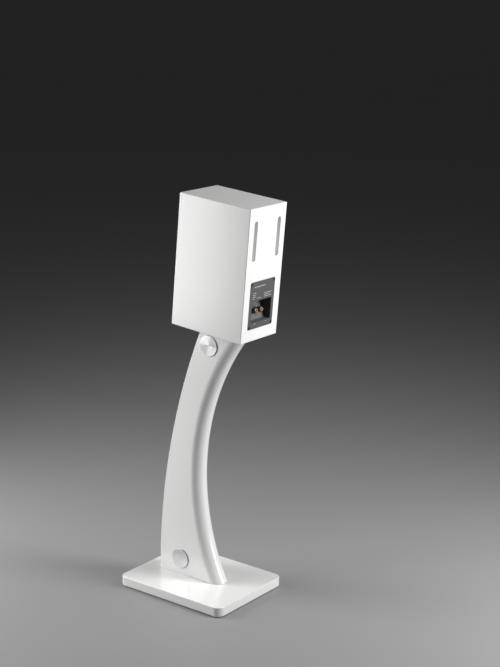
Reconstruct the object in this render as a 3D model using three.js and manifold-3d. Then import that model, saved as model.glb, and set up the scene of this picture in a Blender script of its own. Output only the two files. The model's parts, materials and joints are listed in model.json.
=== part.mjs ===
// A compact two-way loudspeaker that leans back on a curved floor stand. Millimetres, +Z up.
// The speaker's front faces -Y and its terminals face +Y. The origin is on the floor, under the
// middle of the whole object's box.
import * as THREE from "three";
import { mergeVertices } from "three/addons/utils/BufferGeometryUtils.js";
import Module from "manifold-3d";

const wasm = await Module();
wasm.setup();

// ---------------------------------------------------------------- driving dimensions
const GAP = 0.3; // clearance between fitted pieces
const CUT_EXTRA = 5; // how far a cutting tool runs past the face it cuts
const ROUND_SEGMENTS = 24;
const SMALL_SEGMENTS = 12;

const BASE = { width: 240, depth: 300, thickness: 22, corner: 19 };
const PAD = { radius: 15, height: 2, inset: 26 };
const BASE_TOP = PAD.height + BASE.thickness;

// The column's outline, seen from the side: its front edge and the centre line of its round rear
// edge are two arcs. The numbers are each arc's centre (y, z) and radius.
const COLUMN = {
  thickness: 48,
  front: { y: 1456.4, z: 32.9, radius: 1560.6 },
  rear: { y: 566.3, z: 280.4, radius: 580.8 },
  arcSteps: 16,
  noseSteps: 5,
};
const DISC = { radius: 24, thickness: 5, proud: 2, edge: 0.8 };
const LOWER_DISC = { y: -42.8, z: 64.2 };
const UPPER_DISC = { y: 38, z: 596 };
const BARREL = { radius: 10, length: 40 };
const BOLT = { radius: 4, headRadius: 8, headHeight: 5 };

const CABINET = { width: 130, depth: 195, height: 300, wall: 12, edge: 1.2 };
const CABINET_PLACE = { y: 60.7, z: 635.35, lean: THREE.MathUtils.degToRad(-4.5) };
const HEAD_PLATE = { width: 80, front: -60, rear: 75, thickness: 6, corner: 8 };
const HEAD_SCREW = {
  x: 32, front: -50, rear: 65, radius: 2.5, headRadius: 4.8, headHeight: 3, depth: 9,
};

const BAFFLE_THICKNESS = 15;
const PORT = { x: 41.2, bottom: 182, top: 271, width: 12, wall: 2, length: 75 };
const DAMPING = { halfWidth: 50, front: -15, rear: 80, bottom: 275.5, top: 287.4 };

const TERMINAL = { halfWidth: 44, bottom: 27.9, top: 135, thickness: 3, proud: 0.5, corner: 4 };
const RECESS = { halfWidth: 35, bottom: 42.3, top: 90.9, lowDepth: 14, highDepth: 30, wall: 2.2 };
const TERMINAL_SCREW = {
  x: 39.5, low: 33, high: 129.8, headRadius: 3.3, headHeight: 1.9, radius: 1.5, length: 11,
};
const POST = { x: 9.5, length: 16.15, tipY: 93, tipZ: 66.6, radius: 2.5, bore: 2, collar: 5.5, segments: 16 };
const CAP = { radius: 6.2, neck: 5.2, bore: 2.9, start: 3.2, shoulder: 7.5, roof: 13.5 };
const BAND = { inner: 5.5, outer: 6.6, start: 4, end: 7.2 };

const WOOFER_Z = 92;
const TWEETER_Z = 206;
const WOOFER = { flange: 49, flangeThickness: 3, screwCircle: 45, screwHole: 1.8, cutout: 42.5 };
const TWEETER = { plate: 36, magnet: 24, dome: 12.5 };
const BOARD = { halfWidth: 40, bottom: 34, top: 132, front: 56, thickness: 1.8 };

// ---------------------------------------------------------------- finishes
const finish = (color, roughness, metalness) => ({ color, roughness, metalness });
const LACQUER = finish(0xf2f1ef, 0.12, 0);
const TURNED_ALUMINIUM = finish(0xd7d8da, 0.28, 1);
const STEEL = finish(0xb3b5b8, 0.35, 1);
const DARK_STEEL = finish(0x1b1b1d, 0.4, 0.8);
const WHITE_STEEL = finish(0xe8e7e4, 0.35, 0.2);
const RUBBER = finish(0x1a1a1b, 0.8, 0);
const GREY_PLATE = finish(0x74767a, 0.45, 0.3);
const BLACK_PLASTIC = finish(0x161617, 0.5, 0);
const GOLD = finish(0xd9a441, 0.25, 1);
const RED_PLASTIC = finish(0xa3161b, 0.35, 0);
const BOARD_GREEN = finish(0x1f5a34, 0.5, 0);
const COPPER = finish(0xb4643a, 0.35, 1);
const FILM_YELLOW = finish(0xd9b23a, 0.4, 0);
const WADDING = finish(0xe6e4de, 1, 0);
const CABLE_GREY = finish(0x4a4a4d, 0.6, 0);
const FERRITE = finish(0x2b2c2e, 0.6, 0.1);
const CONE_FIBRE = finish(0x232325, 0.7, 0);
const SILK = finish(0x18181a, 0.6, 0);
const SPIDER_CLOTH = finish(0xb98a3c, 0.9, 0);

// ---------------------------------------------------------------- solids
/** A closed three.js geometry as a manifold solid, for joining and cutting. */
function solid(geometry) {
  geometry.deleteAttribute("normal");
  geometry.deleteAttribute("uv");
  const merged = mergeVertices(geometry, 1e-4);
  return new wasm.Manifold(
    new wasm.Mesh({
      numProp: 3,
      vertProperties: merged.attributes.position.array,
      triVerts: new Uint32Array(merged.index.array),
    }),
  );
}

/** A manifold solid back as a three.js geometry with flat shading. */
function geometryOf(body) {
  const mesh = body.getMesh();
  const indexed = new THREE.BufferGeometry();
  indexed.setAttribute("position", new THREE.BufferAttribute(mesh.vertProperties, 3));
  indexed.setIndex(new THREE.BufferAttribute(mesh.triVerts, 1));
  const geometry = indexed.toNonIndexed();
  geometry.computeVertexNormals();
  return geometry;
}

/** A box between two corners, each [x, y, z]. */
function block(low, high) {
  const size = high.map((value, i) => value - low[i]);
  const middle = high.map((value, i) => (value + low[i]) / 2);
  return solid(new THREE.BoxGeometry(...size).translate(...middle));
}

/** A round bar along Y, from y = start to y = end. */
function barY(radius, start, end, segments = SMALL_SEGMENTS) {
  const bar = new THREE.CylinderGeometry(radius, radius, end - start, segments);
  return solid(bar.translate(0, (start + end) / 2, 0));
}

const barX = (radius, start, end, segments) => barY(radius, start, end, segments).rotate([0, 0, -90]);
const barZ = (radius, start, end, segments) => barY(radius, start, end, segments).rotate([90, 0, 0]);

/** A ring or solid of revolution about Y. The profile is a list of [radius, y], closed by itself. */
function lathe(profile, segments = ROUND_SEGMENTS) {
  const area = profile.reduce((sum, [r, y], i) => {
    const [nextR, nextY] = profile[(i + 1) % profile.length];
    return sum + r * nextY - nextR * y;
  }, 0);
  const ordered = area > 0 ? profile : [...profile].reverse();
  const points = [...ordered, ordered[0]].map(([r, y]) => new THREE.Vector2(r, y));
  return solid(new THREE.LatheGeometry(points, segments));
}

/** An outline in the (first, second) axes, extruded along Z from zero. */
function extrude(shape, depth, curveSegments = 2) {
  return solid(new THREE.ExtrudeGeometry(shape, { depth, bevelEnabled: false, curveSegments }));
}

/** A rectangle with rounded corners, centred on the origin. */
function roundedRectangle(width, height, corner) {
  const x = width / 2;
  const y = height / 2;
  const shape = new THREE.Shape();
  shape.moveTo(x - corner, -y);
  shape.absarc(x - corner, -y + corner, corner, -Math.PI / 2, 0);
  shape.absarc(x - corner, y - corner, corner, 0, Math.PI / 2);
  shape.absarc(-x + corner, y - corner, corner, Math.PI / 2, Math.PI);
  shape.absarc(-x + corner, -y + corner, corner, Math.PI, 1.5 * Math.PI);
  return shape;
}

/** A rounded plate that stands in the X-Z plane, from y = start to y = end. */
function standingPlate(halfWidth, bottom, top, corner, start, end) {
  const outline = roundedRectangle(2 * halfWidth, top - bottom, corner);
  const plate = extrude(outline, end - start).rotate([90, 0, 0]);
  return plate.translate([0, end, (bottom + top) / 2]);
}

/** An outline of [y, z] points, extruded along X between two planes. */
function sideProfile(points, left, right) {
  const shape = new THREE.Shape(points.map(([y, z]) => new THREE.Vector2(y, z)));
  const slab = extrude(shape, right - left);
  return slab.rotate([90, 0, 90]).translate([left, 0, 0]);
}

/** A mesh with its own material, put into a group. */
function addPiece(group, name, body, look) {
  const mesh = new THREE.Mesh(geometryOf(body), new THREE.MeshStandardMaterial(look));
  mesh.name = name;
  group.add(mesh);
  return mesh;
}

const SIDES = [["left", -1], ["right", 1]];

// ---------------------------------------------------------------- stand
/** The y of a column arc at a height. Both arcs bulge towards -Y. */
const arcY = (arc, z) => arc.y - Math.sqrt(arc.radius ** 2 - (z - arc.z) ** 2);

/** Points [y, z] up a column arc, from a height to another. */
function arcPoints(arc, bottom, top) {
  return Array.from({ length: COLUMN.arcSteps + 1 }, (_, i) => {
    const z = bottom + ((top - bottom) * i) / COLUMN.arcSteps;
    return [arcY(arc, z), z];
  });
}

/** What lies above the head plate's underside, as a tilted block that cuts the column's top. */
function aboveColumn() {
  const lift = -HEAD_PLATE.thickness - 2 * GAP;
  return block([-200, -200, lift], [200, 200, 200])
    .rotate([THREE.MathUtils.radToDeg(CABINET_PLACE.lean), 0, 0])
    .translate([0, CABINET_PLACE.y, CABINET_PLACE.z]);
}

/** The column: flat sides, a square front edge and a fully rounded rear edge. */
function columnBody() {
  const bottom = BASE_TOP + GAP;
  const top = CABINET_PLACE.z + 60;
  const nose = COLUMN.thickness / 2;
  const reach = 3 * nose;
  const front = arcPoints(COLUMN.front, bottom - reach, top + reach);
  const rear = arcPoints(COLUMN.rear, bottom - reach, top).reverse();
  const fromFront = front.map(([y, z]) => [y - reach, z]);
  const outline = [...fromFront, ...rear].map(([y, z]) => new THREE.Vector2(y, z));
  const rounded = new THREE.ExtrudeGeometry(new THREE.Shape(outline), {
    depth: 0.02,
    bevelThickness: nose - 0.01,
    bevelSize: nose,
    bevelSegments: COLUMN.noseSteps,
  });
  const bullnose = solid(rounded.translate(0, 0, -0.01)).rotate([90, 0, 90]);
  const frontLimit = [...arcPoints(COLUMN.front, bottom, top), [600, top], [600, bottom]];
  let body = bullnose.intersect(sideProfile(frontLimit, -nose, nose)).subtract(aboveColumn());
  for (const place of [LOWER_DISC, UPPER_DISC]) {
    const seat = nose - (DISC.thickness - DISC.proud) - GAP;
    const hole = barX(BARREL.radius + GAP, -seat - 1, seat + 1, 24);
    const seats = SIDES.map(([, side]) => {
      const ends = [side * seat, side * (nose + CUT_EXTRA)].sort((a, b) => a - b);
      return barX(DISC.radius + GAP, ...ends, ROUND_SEGMENTS);
    });
    body = body.subtract(seats.reduce((all, one) => all.add(one), hole).translate([0, place.y, place.z]));
  }
  const baseBoltHole = barZ(BOLT.radius + GAP, -CUT_EXTRA, LOWER_DISC.z, SMALL_SEGMENTS);
  const headBoltHole = barZ(BOLT.radius + GAP, 0, 90, SMALL_SEGMENTS)
    .rotate([THREE.MathUtils.radToDeg(CABINET_PLACE.lean), 0, 0])
    .translate([0, UPPER_DISC.y, UPPER_DISC.z]);
  return body.subtract(baseBoltHole.translate([0, LOWER_DISC.y, 0])).subtract(headBoltHole);
}

/** A turned cover disc with a softened rim, with its axis along X and its face at +X. */
function coverDisc() {
  const { radius, thickness, edge } = DISC;
  const rim = [[radius, 0], [radius, thickness - edge], [radius - edge, thickness]];
  return lathe([[0, 0], ...rim, [0, thickness]]).rotate([0, 0, -90]);
}

/** A cross dowel along X, with the bolt's hole through it. */
function barrelNut(boltDirection) {
  const hole = barZ(BOLT.radius + GAP, -30, 30).rotate([boltDirection, 0, 0]);
  return barX(BARREL.radius, -BARREL.length / 2, BARREL.length / 2, 24).subtract(hole);
}

/** The stand: pads, base board, column, cover discs and the hardware inside. */
function buildStand() {
  const stand = new THREE.Group();
  const seatX = COLUMN.thickness / 2 - (DISC.thickness - DISC.proud);
  const boltHead = { bottom: PAD.height + 4, top: PAD.height + 4 + BOLT.headHeight };
  const baseHoles = barZ(BOLT.radius + GAP, -CUT_EXTRA, 2 * BASE_TOP)
    .add(barZ(BOLT.headRadius + GAP, -CUT_EXTRA, boltHead.top + GAP, 24))
    .translate([0, LOWER_DISC.y, 0]);
  const board = extrude(roundedRectangle(BASE.width, BASE.depth, BASE.corner), BASE.thickness, 5);
  addPiece(stand, "base_board", board.translate([0, 0, PAD.height]).subtract(baseHoles), LACQUER);
  for (const [sideName, side] of SIDES) {
    for (const [endName, end] of [["front", -1], ["rear", 1]]) {
      const x = side * (BASE.width / 2 - PAD.inset);
      const y = end * (BASE.depth / 2 - PAD.inset);
      const pad = barZ(PAD.radius, 0, PAD.height - 0.1, 24).translate([x, y, 0]);
      addPiece(stand, `base_pad_${endName}_${sideName}`, pad, RUBBER);
    }
  }
  addPiece(stand, "column", columnBody(), LACQUER);
  const lean = THREE.MathUtils.radToDeg(CABINET_PLACE.lean);
  const levels = [["lower", LOWER_DISC, 0], ["upper", UPPER_DISC, lean]];
  for (const [level, place, turn] of levels) {
    const at = (body) => body.translate([0, place.y, place.z]);
    addPiece(stand, `barrel_nut_${level}`, at(barrelNut(turn)), STEEL);
    for (const [sideName, side] of SIDES) {
      const disc = coverDisc().translate([seatX, 0, 0]).rotate([0, 0, side > 0 ? 0 : 180]);
      addPiece(stand, `cover_disc_${level}_${sideName}`, at(disc), TURNED_ALUMINIUM);
    }
  }
  const baseBolt = barZ(BOLT.headRadius, boltHead.bottom, boltHead.top, 6)
    .add(barZ(BOLT.radius, boltHead.bottom, LOWER_DISC.z + BARREL.radius - 2));
  addPiece(stand, "base_bolt", baseBolt.translate([0, LOWER_DISC.y, 0]), STEEL);
  return stand;
}

// ---------------------------------------------------------------- cabinet, in its own leaning frame
const halfWidth = CABINET.width / 2;
const halfDepth = CABINET.depth / 2;
const innerX = halfWidth - CABINET.wall;
const wallInside = halfDepth - CABINET.wall;
const plateFace = halfDepth + TERMINAL.proud;

/** Repeats a solid at each of the four places of a rectangle. */
function atCorners(body, x, low, high) {
  const places = SIDES.flatMap(([, side]) => [low, high].map((value) => [side * x, value]));
  return places.map(([px, value]) => body(px, value));
}

const joinAll = (bodies) => bodies.reduce((all, one) => all.add(one));

/** A stadium-ended slot through the rear, widened by a margin, from y = start to y = end. */
function portSlot(margin, start, end) {
  const half = PORT.width / 2 + margin;
  return standingPlate(half, PORT.bottom - margin, PORT.top + margin, half - 0.01, start, end);
}

/** The column bolt's place in the cabinet's frame. */
function headBoltPlace() {
  const offset = new THREE.Vector3(0, UPPER_DISC.y - CABINET_PLACE.y, UPPER_DISC.z - CABINET_PLACE.z);
  return offset.applyAxisAngle(new THREE.Vector3(1, 0, 0), -CABINET_PLACE.lean);
}

/** The glued and lacquered box: sides, top, bottom and rear, open at the front. */
function cabinetShell() {
  const outer = new THREE.ExtrudeGeometry(
    roundedRectangle(CABINET.width - 2 * CABINET.edge, CABINET.height - 2 * CABINET.edge, 0.4),
    {
      depth: CABINET.depth - 2 * CABINET.edge,
      bevelThickness: CABINET.edge,
      bevelSize: CABINET.edge,
      bevelSegments: 2,
      curveSegments: 1,
    },
  );
  const middle = CABINET.height / 2;
  let shell = solid(outer.translate(0, 0, CABINET.edge - halfDepth)).rotate([90, 0, 0]);
  shell = shell.translate([0, 0, middle]);
  const cavity = block(
    [-innerX, -halfDepth - CUT_EXTRA, CABINET.wall],
    [innerX, wallInside, CABINET.height - CABINET.wall],
  );
  shell = shell.subtract(cavity);
  for (const [, side] of SIDES) {
    const slot = portSlot(0, wallInside - CUT_EXTRA, halfDepth + CUT_EXTRA);
    shell = shell.subtract(slot.translate([side * PORT.x, 0, 0]));
  }
  const rebate = standingPlate(
    TERMINAL.halfWidth + GAP,
    TERMINAL.bottom - GAP,
    TERMINAL.top + GAP,
    TERMINAL.corner + GAP,
    plateFace - TERMINAL.thickness - GAP,
    halfDepth + CUT_EXTRA,
  );
  const room = RECESS.wall + GAP;
  const window_ = block(
    [-RECESS.halfWidth - room, wallInside - CUT_EXTRA, RECESS.bottom - room],
    [RECESS.halfWidth + room, halfDepth, RECESS.top + room],
  );
  const screwHoles = atCorners(
    (x, z) => barY(TERMINAL_SCREW.radius + GAP, wallInside - CUT_EXTRA, halfDepth).translate([x, 0, z]),
    TERMINAL_SCREW.x, TERMINAL_SCREW.low, TERMINAL_SCREW.high,
  );
  const headHoles = atCorners(
    (x, y) => barZ(HEAD_SCREW.radius + GAP, -CUT_EXTRA, HEAD_SCREW.depth + GAP).translate([x, y, 0]),
    HEAD_SCREW.x, HEAD_SCREW.front, HEAD_SCREW.rear,
  );
  return shell.subtract(joinAll([rebate, window_, ...screwHoles, ...headHoles]));
}

/** The front board, inset between the walls, with stepped holes for both drivers. */
function frontBaffle() {
  const back = -halfDepth + BAFFLE_THICKNESS;
  const low = [-innerX + GAP, -halfDepth, CABINET.wall + GAP];
  const high = [innerX - GAP, back, CABINET.height - CABINET.wall - GAP];
  const rebateDepth = WOOFER.flangeThickness + GAP;
  const drivers = [
    [WOOFER_Z, WOOFER.flange, WOOFER.cutout],
    [TWEETER_Z, TWEETER.plate, TWEETER.magnet + 1],
  ];
  const holes = drivers.map(
    ([z, outer, inner]) => barY(outer + GAP, -halfDepth - CUT_EXTRA, -halfDepth + rebateDepth, ROUND_SEGMENTS)
      .add(barY(inner, -halfDepth, back + CUT_EXTRA, ROUND_SEGMENTS))
      .translate([0, 0, z]),
  );
  const pilot = barY(WOOFER.screwHole, -halfDepth, -halfDepth + 13);
  const pilots = wooferScrewPlaces().map(([x, z]) => pilot.translate([x, 0, z]));
  return block(low, high).subtract(joinAll([...holes, ...pilots]));
}

/** The plate under the cabinet that the column bolts to. */
function headPlate() {
  const length = HEAD_PLATE.rear - HEAD_PLATE.front;
  const middle = (HEAD_PLATE.rear + HEAD_PLATE.front) / 2;
  const outline = roundedRectangle(HEAD_PLATE.width, length, HEAD_PLATE.corner);
  const plate = extrude(outline, HEAD_PLATE.thickness).translate([0, middle, -HEAD_PLATE.thickness - GAP]);
  const screwHoles = atCorners(
    (x, y) => barZ(HEAD_SCREW.radius + GAP, -30, 30).translate([x, y, 0]),
    HEAD_SCREW.x, HEAD_SCREW.front, HEAD_SCREW.rear,
  );
  const seat = barZ(BOLT.headRadius + GAP, -HEAD_PLATE.thickness + 1, CUT_EXTRA, 24);
  const boltHole = barZ(BOLT.radius + GAP, -30, 0).add(seat).translate([0, headBoltPlace().y, 0]);
  return plate.subtract(joinAll([...screwHoles, boltHole]));
}

/** The parts under and in the cabinet's walls. */
function buildCabinet() {
  const cabinet = new THREE.Group();
  addPiece(cabinet, "cabinet_shell", cabinetShell(), LACQUER);
  addPiece(cabinet, "front_baffle", frontBaffle(), LACQUER);
  for (const [name, side] of SIDES) {
    const end = wallInside - GAP;
    const bore = portSlot(0, end - 2 * PORT.length, end + CUT_EXTRA);
    const duct = portSlot(PORT.wall, end - PORT.length, end).subtract(bore);
    addPiece(cabinet, `port_duct_${name}`, duct.translate([side * PORT.x, 0, 0]), LACQUER);
  }
  const pad = block(
    [-DAMPING.halfWidth, DAMPING.front, DAMPING.bottom],
    [DAMPING.halfWidth, DAMPING.rear, DAMPING.top],
  );
  addPiece(cabinet, "damping_pad", pad, WADDING);
  addPiece(cabinet, "head_plate", headPlate(), WHITE_STEEL);
  const plateBottom = -HEAD_PLATE.thickness - GAP;
  const places = atCorners((x, y) => [x, y], HEAD_SCREW.x, HEAD_SCREW.front, HEAD_SCREW.rear);
  places.forEach(([x, y], i) => {
    const head = barZ(HEAD_SCREW.headRadius, plateBottom - HEAD_SCREW.headHeight - 0.1, plateBottom - 0.1);
    const screw = head.add(barZ(HEAD_SCREW.radius, plateBottom - 1, HEAD_SCREW.depth, 12));
    addPiece(cabinet, `head_plate_screw_${i + 1}`, screw.translate([x, y, 0]), STEEL);
  });
  const bolt = headBoltPlace();
  const headTop = -1;
  const headBolt = barZ(BOLT.headRadius, headTop - BOLT.headHeight + 1.6, headTop, 6)
    .add(barZ(BOLT.radius, bolt.z - BARREL.radius + 2, headTop - 1));
  addPiece(cabinet, "head_bolt", headBolt.translate([0, bolt.y, 0]), STEEL);
  return cabinet;
}

// ---------------------------------------------------------------- terminals
const panelLowY = plateFace - RECESS.lowDepth;
const panelHighY = plateFace - RECESS.highDepth;
const panelTilt = Math.atan2(panelLowY - panelHighY, RECESS.top - RECESS.bottom);

/** The moulded cup behind the plate, with a back panel that slopes away upwards. */
function terminalCup() {
  const { wall, bottom, top } = RECESS;
  const mouth = plateFace - TERMINAL.thickness - GAP;
  const sectionFrom = (front, margin) => [
    [front, bottom - margin], [front, top + margin],
    [panelHighY - margin, top + margin], [panelLowY - margin, bottom - margin],
  ];
  const outside = sectionFrom(mouth, wall);
  const inside = sectionFrom(mouth + CUT_EXTRA, 0);
  const cup = sideProfile(outside, -RECESS.halfWidth - wall, RECESS.halfWidth + wall);
  const holes = SIDES.map(([, side]) => placeOnPanel(barY(POST.radius + GAP, -20, 5), side));
  return cup.subtract(joinAll([sideProfile(inside, -RECESS.halfWidth, RECESS.halfWidth), ...holes]));
}

/** Moves a solid made along Y from zero onto the sloped panel, at a post's place. */
function placeOnPanel(body, side) {
  const y = POST.tipY - POST.length * Math.cos(panelTilt);
  const z = POST.tipZ - POST.length * Math.sin(panelTilt);
  return body.rotate([THREE.MathUtils.radToDeg(panelTilt), 0, 0]).translate([side * POST.x, y, z]);
}

/** The plate, the cup, four screws and the two binding posts. */
function buildTerminals() {
  const terminals = new THREE.Group();
  const plate = standingPlate(
    TERMINAL.halfWidth, TERMINAL.bottom, TERMINAL.top, TERMINAL.corner,
    plateFace - TERMINAL.thickness, plateFace,
  );
  const mouth = block([-RECESS.halfWidth, 0, RECESS.bottom], [RECESS.halfWidth, 2 * halfDepth, RECESS.top]);
  const { x: screwX, low, high, headRadius, headHeight, radius, length } = TERMINAL_SCREW;
  const wide = headRadius + GAP;
  const sink = [[radius + GAP, -20], [radius + GAP, -headHeight - 0.1], [wide, 0], [wide, CUT_EXTRA]];
  const screwHole = lathe([[0, -20], ...sink, [0, CUT_EXTRA]], SMALL_SEGMENTS);
  const holes = atCorners((x, z) => screwHole.translate([x, plateFace, z]), screwX, low, high);
  addPiece(terminals, "terminal_plate", plate.subtract(joinAll([mouth, ...holes])), GREY_PLATE);
  addPiece(terminals, "terminal_cup", terminalCup(), GREY_PLATE);
  const shank = [[radius, -length], [radius, -headHeight], [headRadius, -0.2], [headRadius, 0]];
  const screw = lathe([[0, -length], ...shank, [0, 0]], SMALL_SEGMENTS);
  atCorners((x, z) => screw.translate([x, plateFace, z]), screwX, low, high).forEach((body, i) => {
    addPiece(terminals, `terminal_screw_${i + 1}`, body, DARK_STEEL);
  });
  const stemTip = CAP.roof - 0.5;
  const stem = lathe([
    [0, -13], [POST.radius, -13], [POST.radius, 0.2], [POST.collar, 0.2], [POST.collar, 2.4],
    [POST.radius, 2.4], [POST.radius, stemTip], [POST.bore, stemTip], [POST.bore, 2], [0, 2],
  ], POST.segments);
  const cap = lathe([
    [CAP.bore, CAP.start], [CAP.neck, CAP.start], [CAP.neck, CAP.shoulder], [CAP.radius, CAP.shoulder],
    [CAP.radius, POST.length - 0.6], [CAP.radius - 0.6, POST.length], [POST.bore, POST.length],
    [POST.bore, CAP.roof], [CAP.bore, CAP.roof],
  ], POST.segments);
  const band = lathe([
    [BAND.inner, BAND.start], [BAND.outer, BAND.start], [BAND.outer, BAND.end], [BAND.inner, BAND.end],
  ], POST.segments);
  for (const [color, side, look] of [["red", 1, RED_PLASTIC], ["black", -1, BLACK_PLASTIC]]) {
    addPiece(terminals, `post_stem_${color}`, placeOnPanel(stem, side), GOLD);
    addPiece(terminals, `post_cap_${color}`, placeOnPanel(cap, side), GOLD);
    addPiece(terminals, `post_band_${color}`, placeOnPanel(band, side), look);
  }
  return terminals;
}

// ---------------------------------------------------------------- crossover
/** The board behind the cup and what is soldered on it. Its parts face the front. */
function buildCrossover() {
  const crossover = new THREE.Group();
  const { halfWidth: half, bottom, top, front, thickness } = BOARD;
  const postHoles = SIDES.map(([, side]) => placeOnPanel(barY(POST.radius + 1.2, -40, 0), side));
  const board = block([-half, front, bottom], [half, front + thickness, top]).subtract(joinAll(postHoles));
  addPiece(crossover, "crossover_board", board, BOARD_GREEN);
  const onBoard = front - GAP;
  const ring = (outer, inner, height) => lathe([[inner, 0], [outer, 0], [outer, height], [inner, height]]);
  addPiece(crossover, "woofer_inductor", ring(17, 7, 16).translate([-20, onBoard - 16, 110]), COPPER);
  addPiece(crossover, "tweeter_inductor", ring(11, 5, 11).translate([22, onBoard - 11, 115]), COPPER);
  const capacitor = (radius, length) => barX(radius, -length / 2, length / 2, ROUND_SEGMENTS);
  addPiece(crossover, "capacitor_large", capacitor(9, 34).translate([-18, onBoard - 9, 48]), FILM_YELLOW);
  addPiece(crossover, "capacitor_small", capacitor(7, 26).translate([22, onBoard - 7, 46]), FILM_YELLOW);
  const resistor = block([14, onBoard - 9, 86], [36, onBoard, 95]);
  addPiece(crossover, "resistor", resistor, WHITE_STEEL);
  return crossover;
}

/** A lead of constant section along a smooth route of [x, y, z] points. */
function lead(points, radius) {
  const route = new THREE.CatmullRomCurve3(points.map((p) => new THREE.Vector3(...p)));
  const section = new THREE.Shape();
  section.absarc(0, 0, radius, 0, 2 * Math.PI);
  return solid(new THREE.ExtrudeGeometry(section, { steps: 16, extrudePath: route, curveSegments: 4 }));
}

// ---------------------------------------------------------------- drivers
const frontFace = -halfDepth;
const quarterTurn = Array.from({ length: 6 }, (_, i) => (Math.PI / 2) * (i / 5));

/** Where the four woofer screws go, as [x, z]. */
function wooferScrewPlaces() {
  const reach = WOOFER.screwCircle * Math.SQRT1_2;
  return SIDES.flatMap(([, side]) => [-1, 1].map((level) => [side * reach, WOOFER_Z + level * reach]));
}

/** The cast basket: flange, sloping wall with windows, and the seat for the motor. */
function basket() {
  const { flange, flangeThickness: plate } = WOOFER;
  const ledge = 2;
  const seat = 39.5;
  const body = lathe([
    [flange, 0], [flange, plate], [42, plate], [40, 12], [31, 36], [31, seat], [15, seat], [15, 37],
    [29, 37], [29, 31], [37.5, 12], [38, plate], [41, plate], [41, ledge], [43, ledge], [43, 0],
  ]);
  const window_ = block([-11, 13, 20], [11, 30, 60]);
  const windows = Array.from({ length: 6 }, (_, i) => window_.rotate([0, 60 * i, 0]));
  const hole = barY(WOOFER.screwHole, -CUT_EXTRA, 2 * CUT_EXTRA);
  const holes = wooferScrewPlaces().map(([x, z]) => hole.translate([x, 0, z - WOOFER_Z]));
  return body.subtract(joinAll([...windows, ...holes]));
}

/** The woofer, with its axis along Y and zero at the front of its flange. */
function buildWoofer() {
  const woofer = new THREE.Group();
  woofer.position.set(0, frontFace, WOOFER_Z);
  addPiece(woofer, "woofer_basket", basket(), DARK_STEEL);
  const halfTurn = Array.from({ length: 6 }, (_, i) => (Math.PI * i) / 5);
  const roll = (reach, height, level) =>
    halfTurn.map((a) => [36.9 + reach * Math.cos(a), level - height * Math.sin(a)]);
  const surround = lathe([
    [42.6, 0.9], ...roll(3.6, 3.4, 0.9), [32.6, 0.9],
    [32.6, 1.7], ...roll(2.8, 2.6, 1.7).reverse(), [42.6, 1.7],
  ]);
  addPiece(woofer, "woofer_surround", surround, RUBBER);
  const cone = lathe([[34.2, 2.1], [34.2, 3.1], [13.6, 20], [12.9, 20], [12.9, 18.6], [33, 2.1]]);
  addPiece(woofer, "woofer_cone", cone, CONE_FIBRE);
  const capOuter = quarterTurn.map((a) => [15.2 * Math.cos(a), 16.4 - 5.5 * Math.sin(a)]);
  const capInner = quarterTurn.map((a) => [14.5 * Math.cos(a), 16.4 - 4.8 * Math.sin(a)]).reverse();
  addPiece(woofer, "woofer_dust_cap", lathe([...capOuter, ...capInner]), SILK);
  const coil = lathe([[12.3, 20.3], [13.1, 20.3], [13.1, 38], [13.4, 38], [13.4, 46], [12.3, 46]]);
  addPiece(woofer, "voice_coil", coil, COPPER);
  const waves = [[13.5, 31], [17, 30.2], [21, 31.8], [25, 30.2], [28.6, 31]];
  const backOfWaves = waves.map(([r, y]) => [r, y + 0.8]).reverse();
  addPiece(woofer, "woofer_spider", lathe([...waves, ...backOfWaves]), SPIDER_CLOTH);
  const topPlate = lathe([[14.2, 39.8], [30, 39.8], [30, 43.8], [14.2, 43.8]]);
  addPiece(woofer, "woofer_top_plate", topPlate, STEEL);
  const magnet = lathe([[17, 44.1], [32, 44.1], [32, 56], [17, 56]]);
  addPiece(woofer, "woofer_magnet", magnet, FERRITE);
  const yoke = lathe([[0, 40], [11.8, 40], [11.8, 56.3], [30, 56.3], [30, 60.3], [0, 60.3]]);
  addPiece(woofer, "woofer_yoke", yoke, STEEL);
  const head = [[2.4, -1.7], [3.2, -1], [3.2, -0.1], [1.5, -0.1]];
  const screw = lathe([[0, -1.7], ...head, [1.5, 12], [0, 12]], SMALL_SEGMENTS);
  wooferScrewPlaces().forEach(([x, z], i) => {
    addPiece(woofer, `woofer_screw_${i + 1}`, screw.translate([x, 0, z - WOOFER_Z]), DARK_STEEL);
  });
  return woofer;
}

/** The dome tweeter, with its axis along Y and zero at the front of its faceplate. */
function buildTweeter() {
  const tweeter = new THREE.Group();
  tweeter.position.set(0, frontFace, TWEETER_Z);
  const { plate, magnet, dome } = TWEETER;
  const faceplate = lathe([[plate, 0], [plate, 3], [14.9, 3], [14.9, 2.2], [22, 0.6], [25, 0]]);
  addPiece(tweeter, "tweeter_faceplate", faceplate, BLACK_PLASTIC);
  const outside = quarterTurn.map((a) => [dome * Math.cos(a), 2.2 - 4.6 * Math.sin(a)]);
  const inside = quarterTurn.map((a) => [(dome - 0.6) * Math.cos(a), 2.6 - 4.4 * Math.sin(a)]).reverse();
  addPiece(tweeter, "tweeter_dome", lathe([[14.4, 2.2], ...outside, ...inside, [14.4, 2.6]]), SILK);
  const motor = lathe([[0, 3.5], [magnet, 3.5], [magnet, 22], [magnet - 2, 24], [0, 24]]);
  addPiece(tweeter, "tweeter_magnet", motor, FERRITE);
  return tweeter;
}

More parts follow.
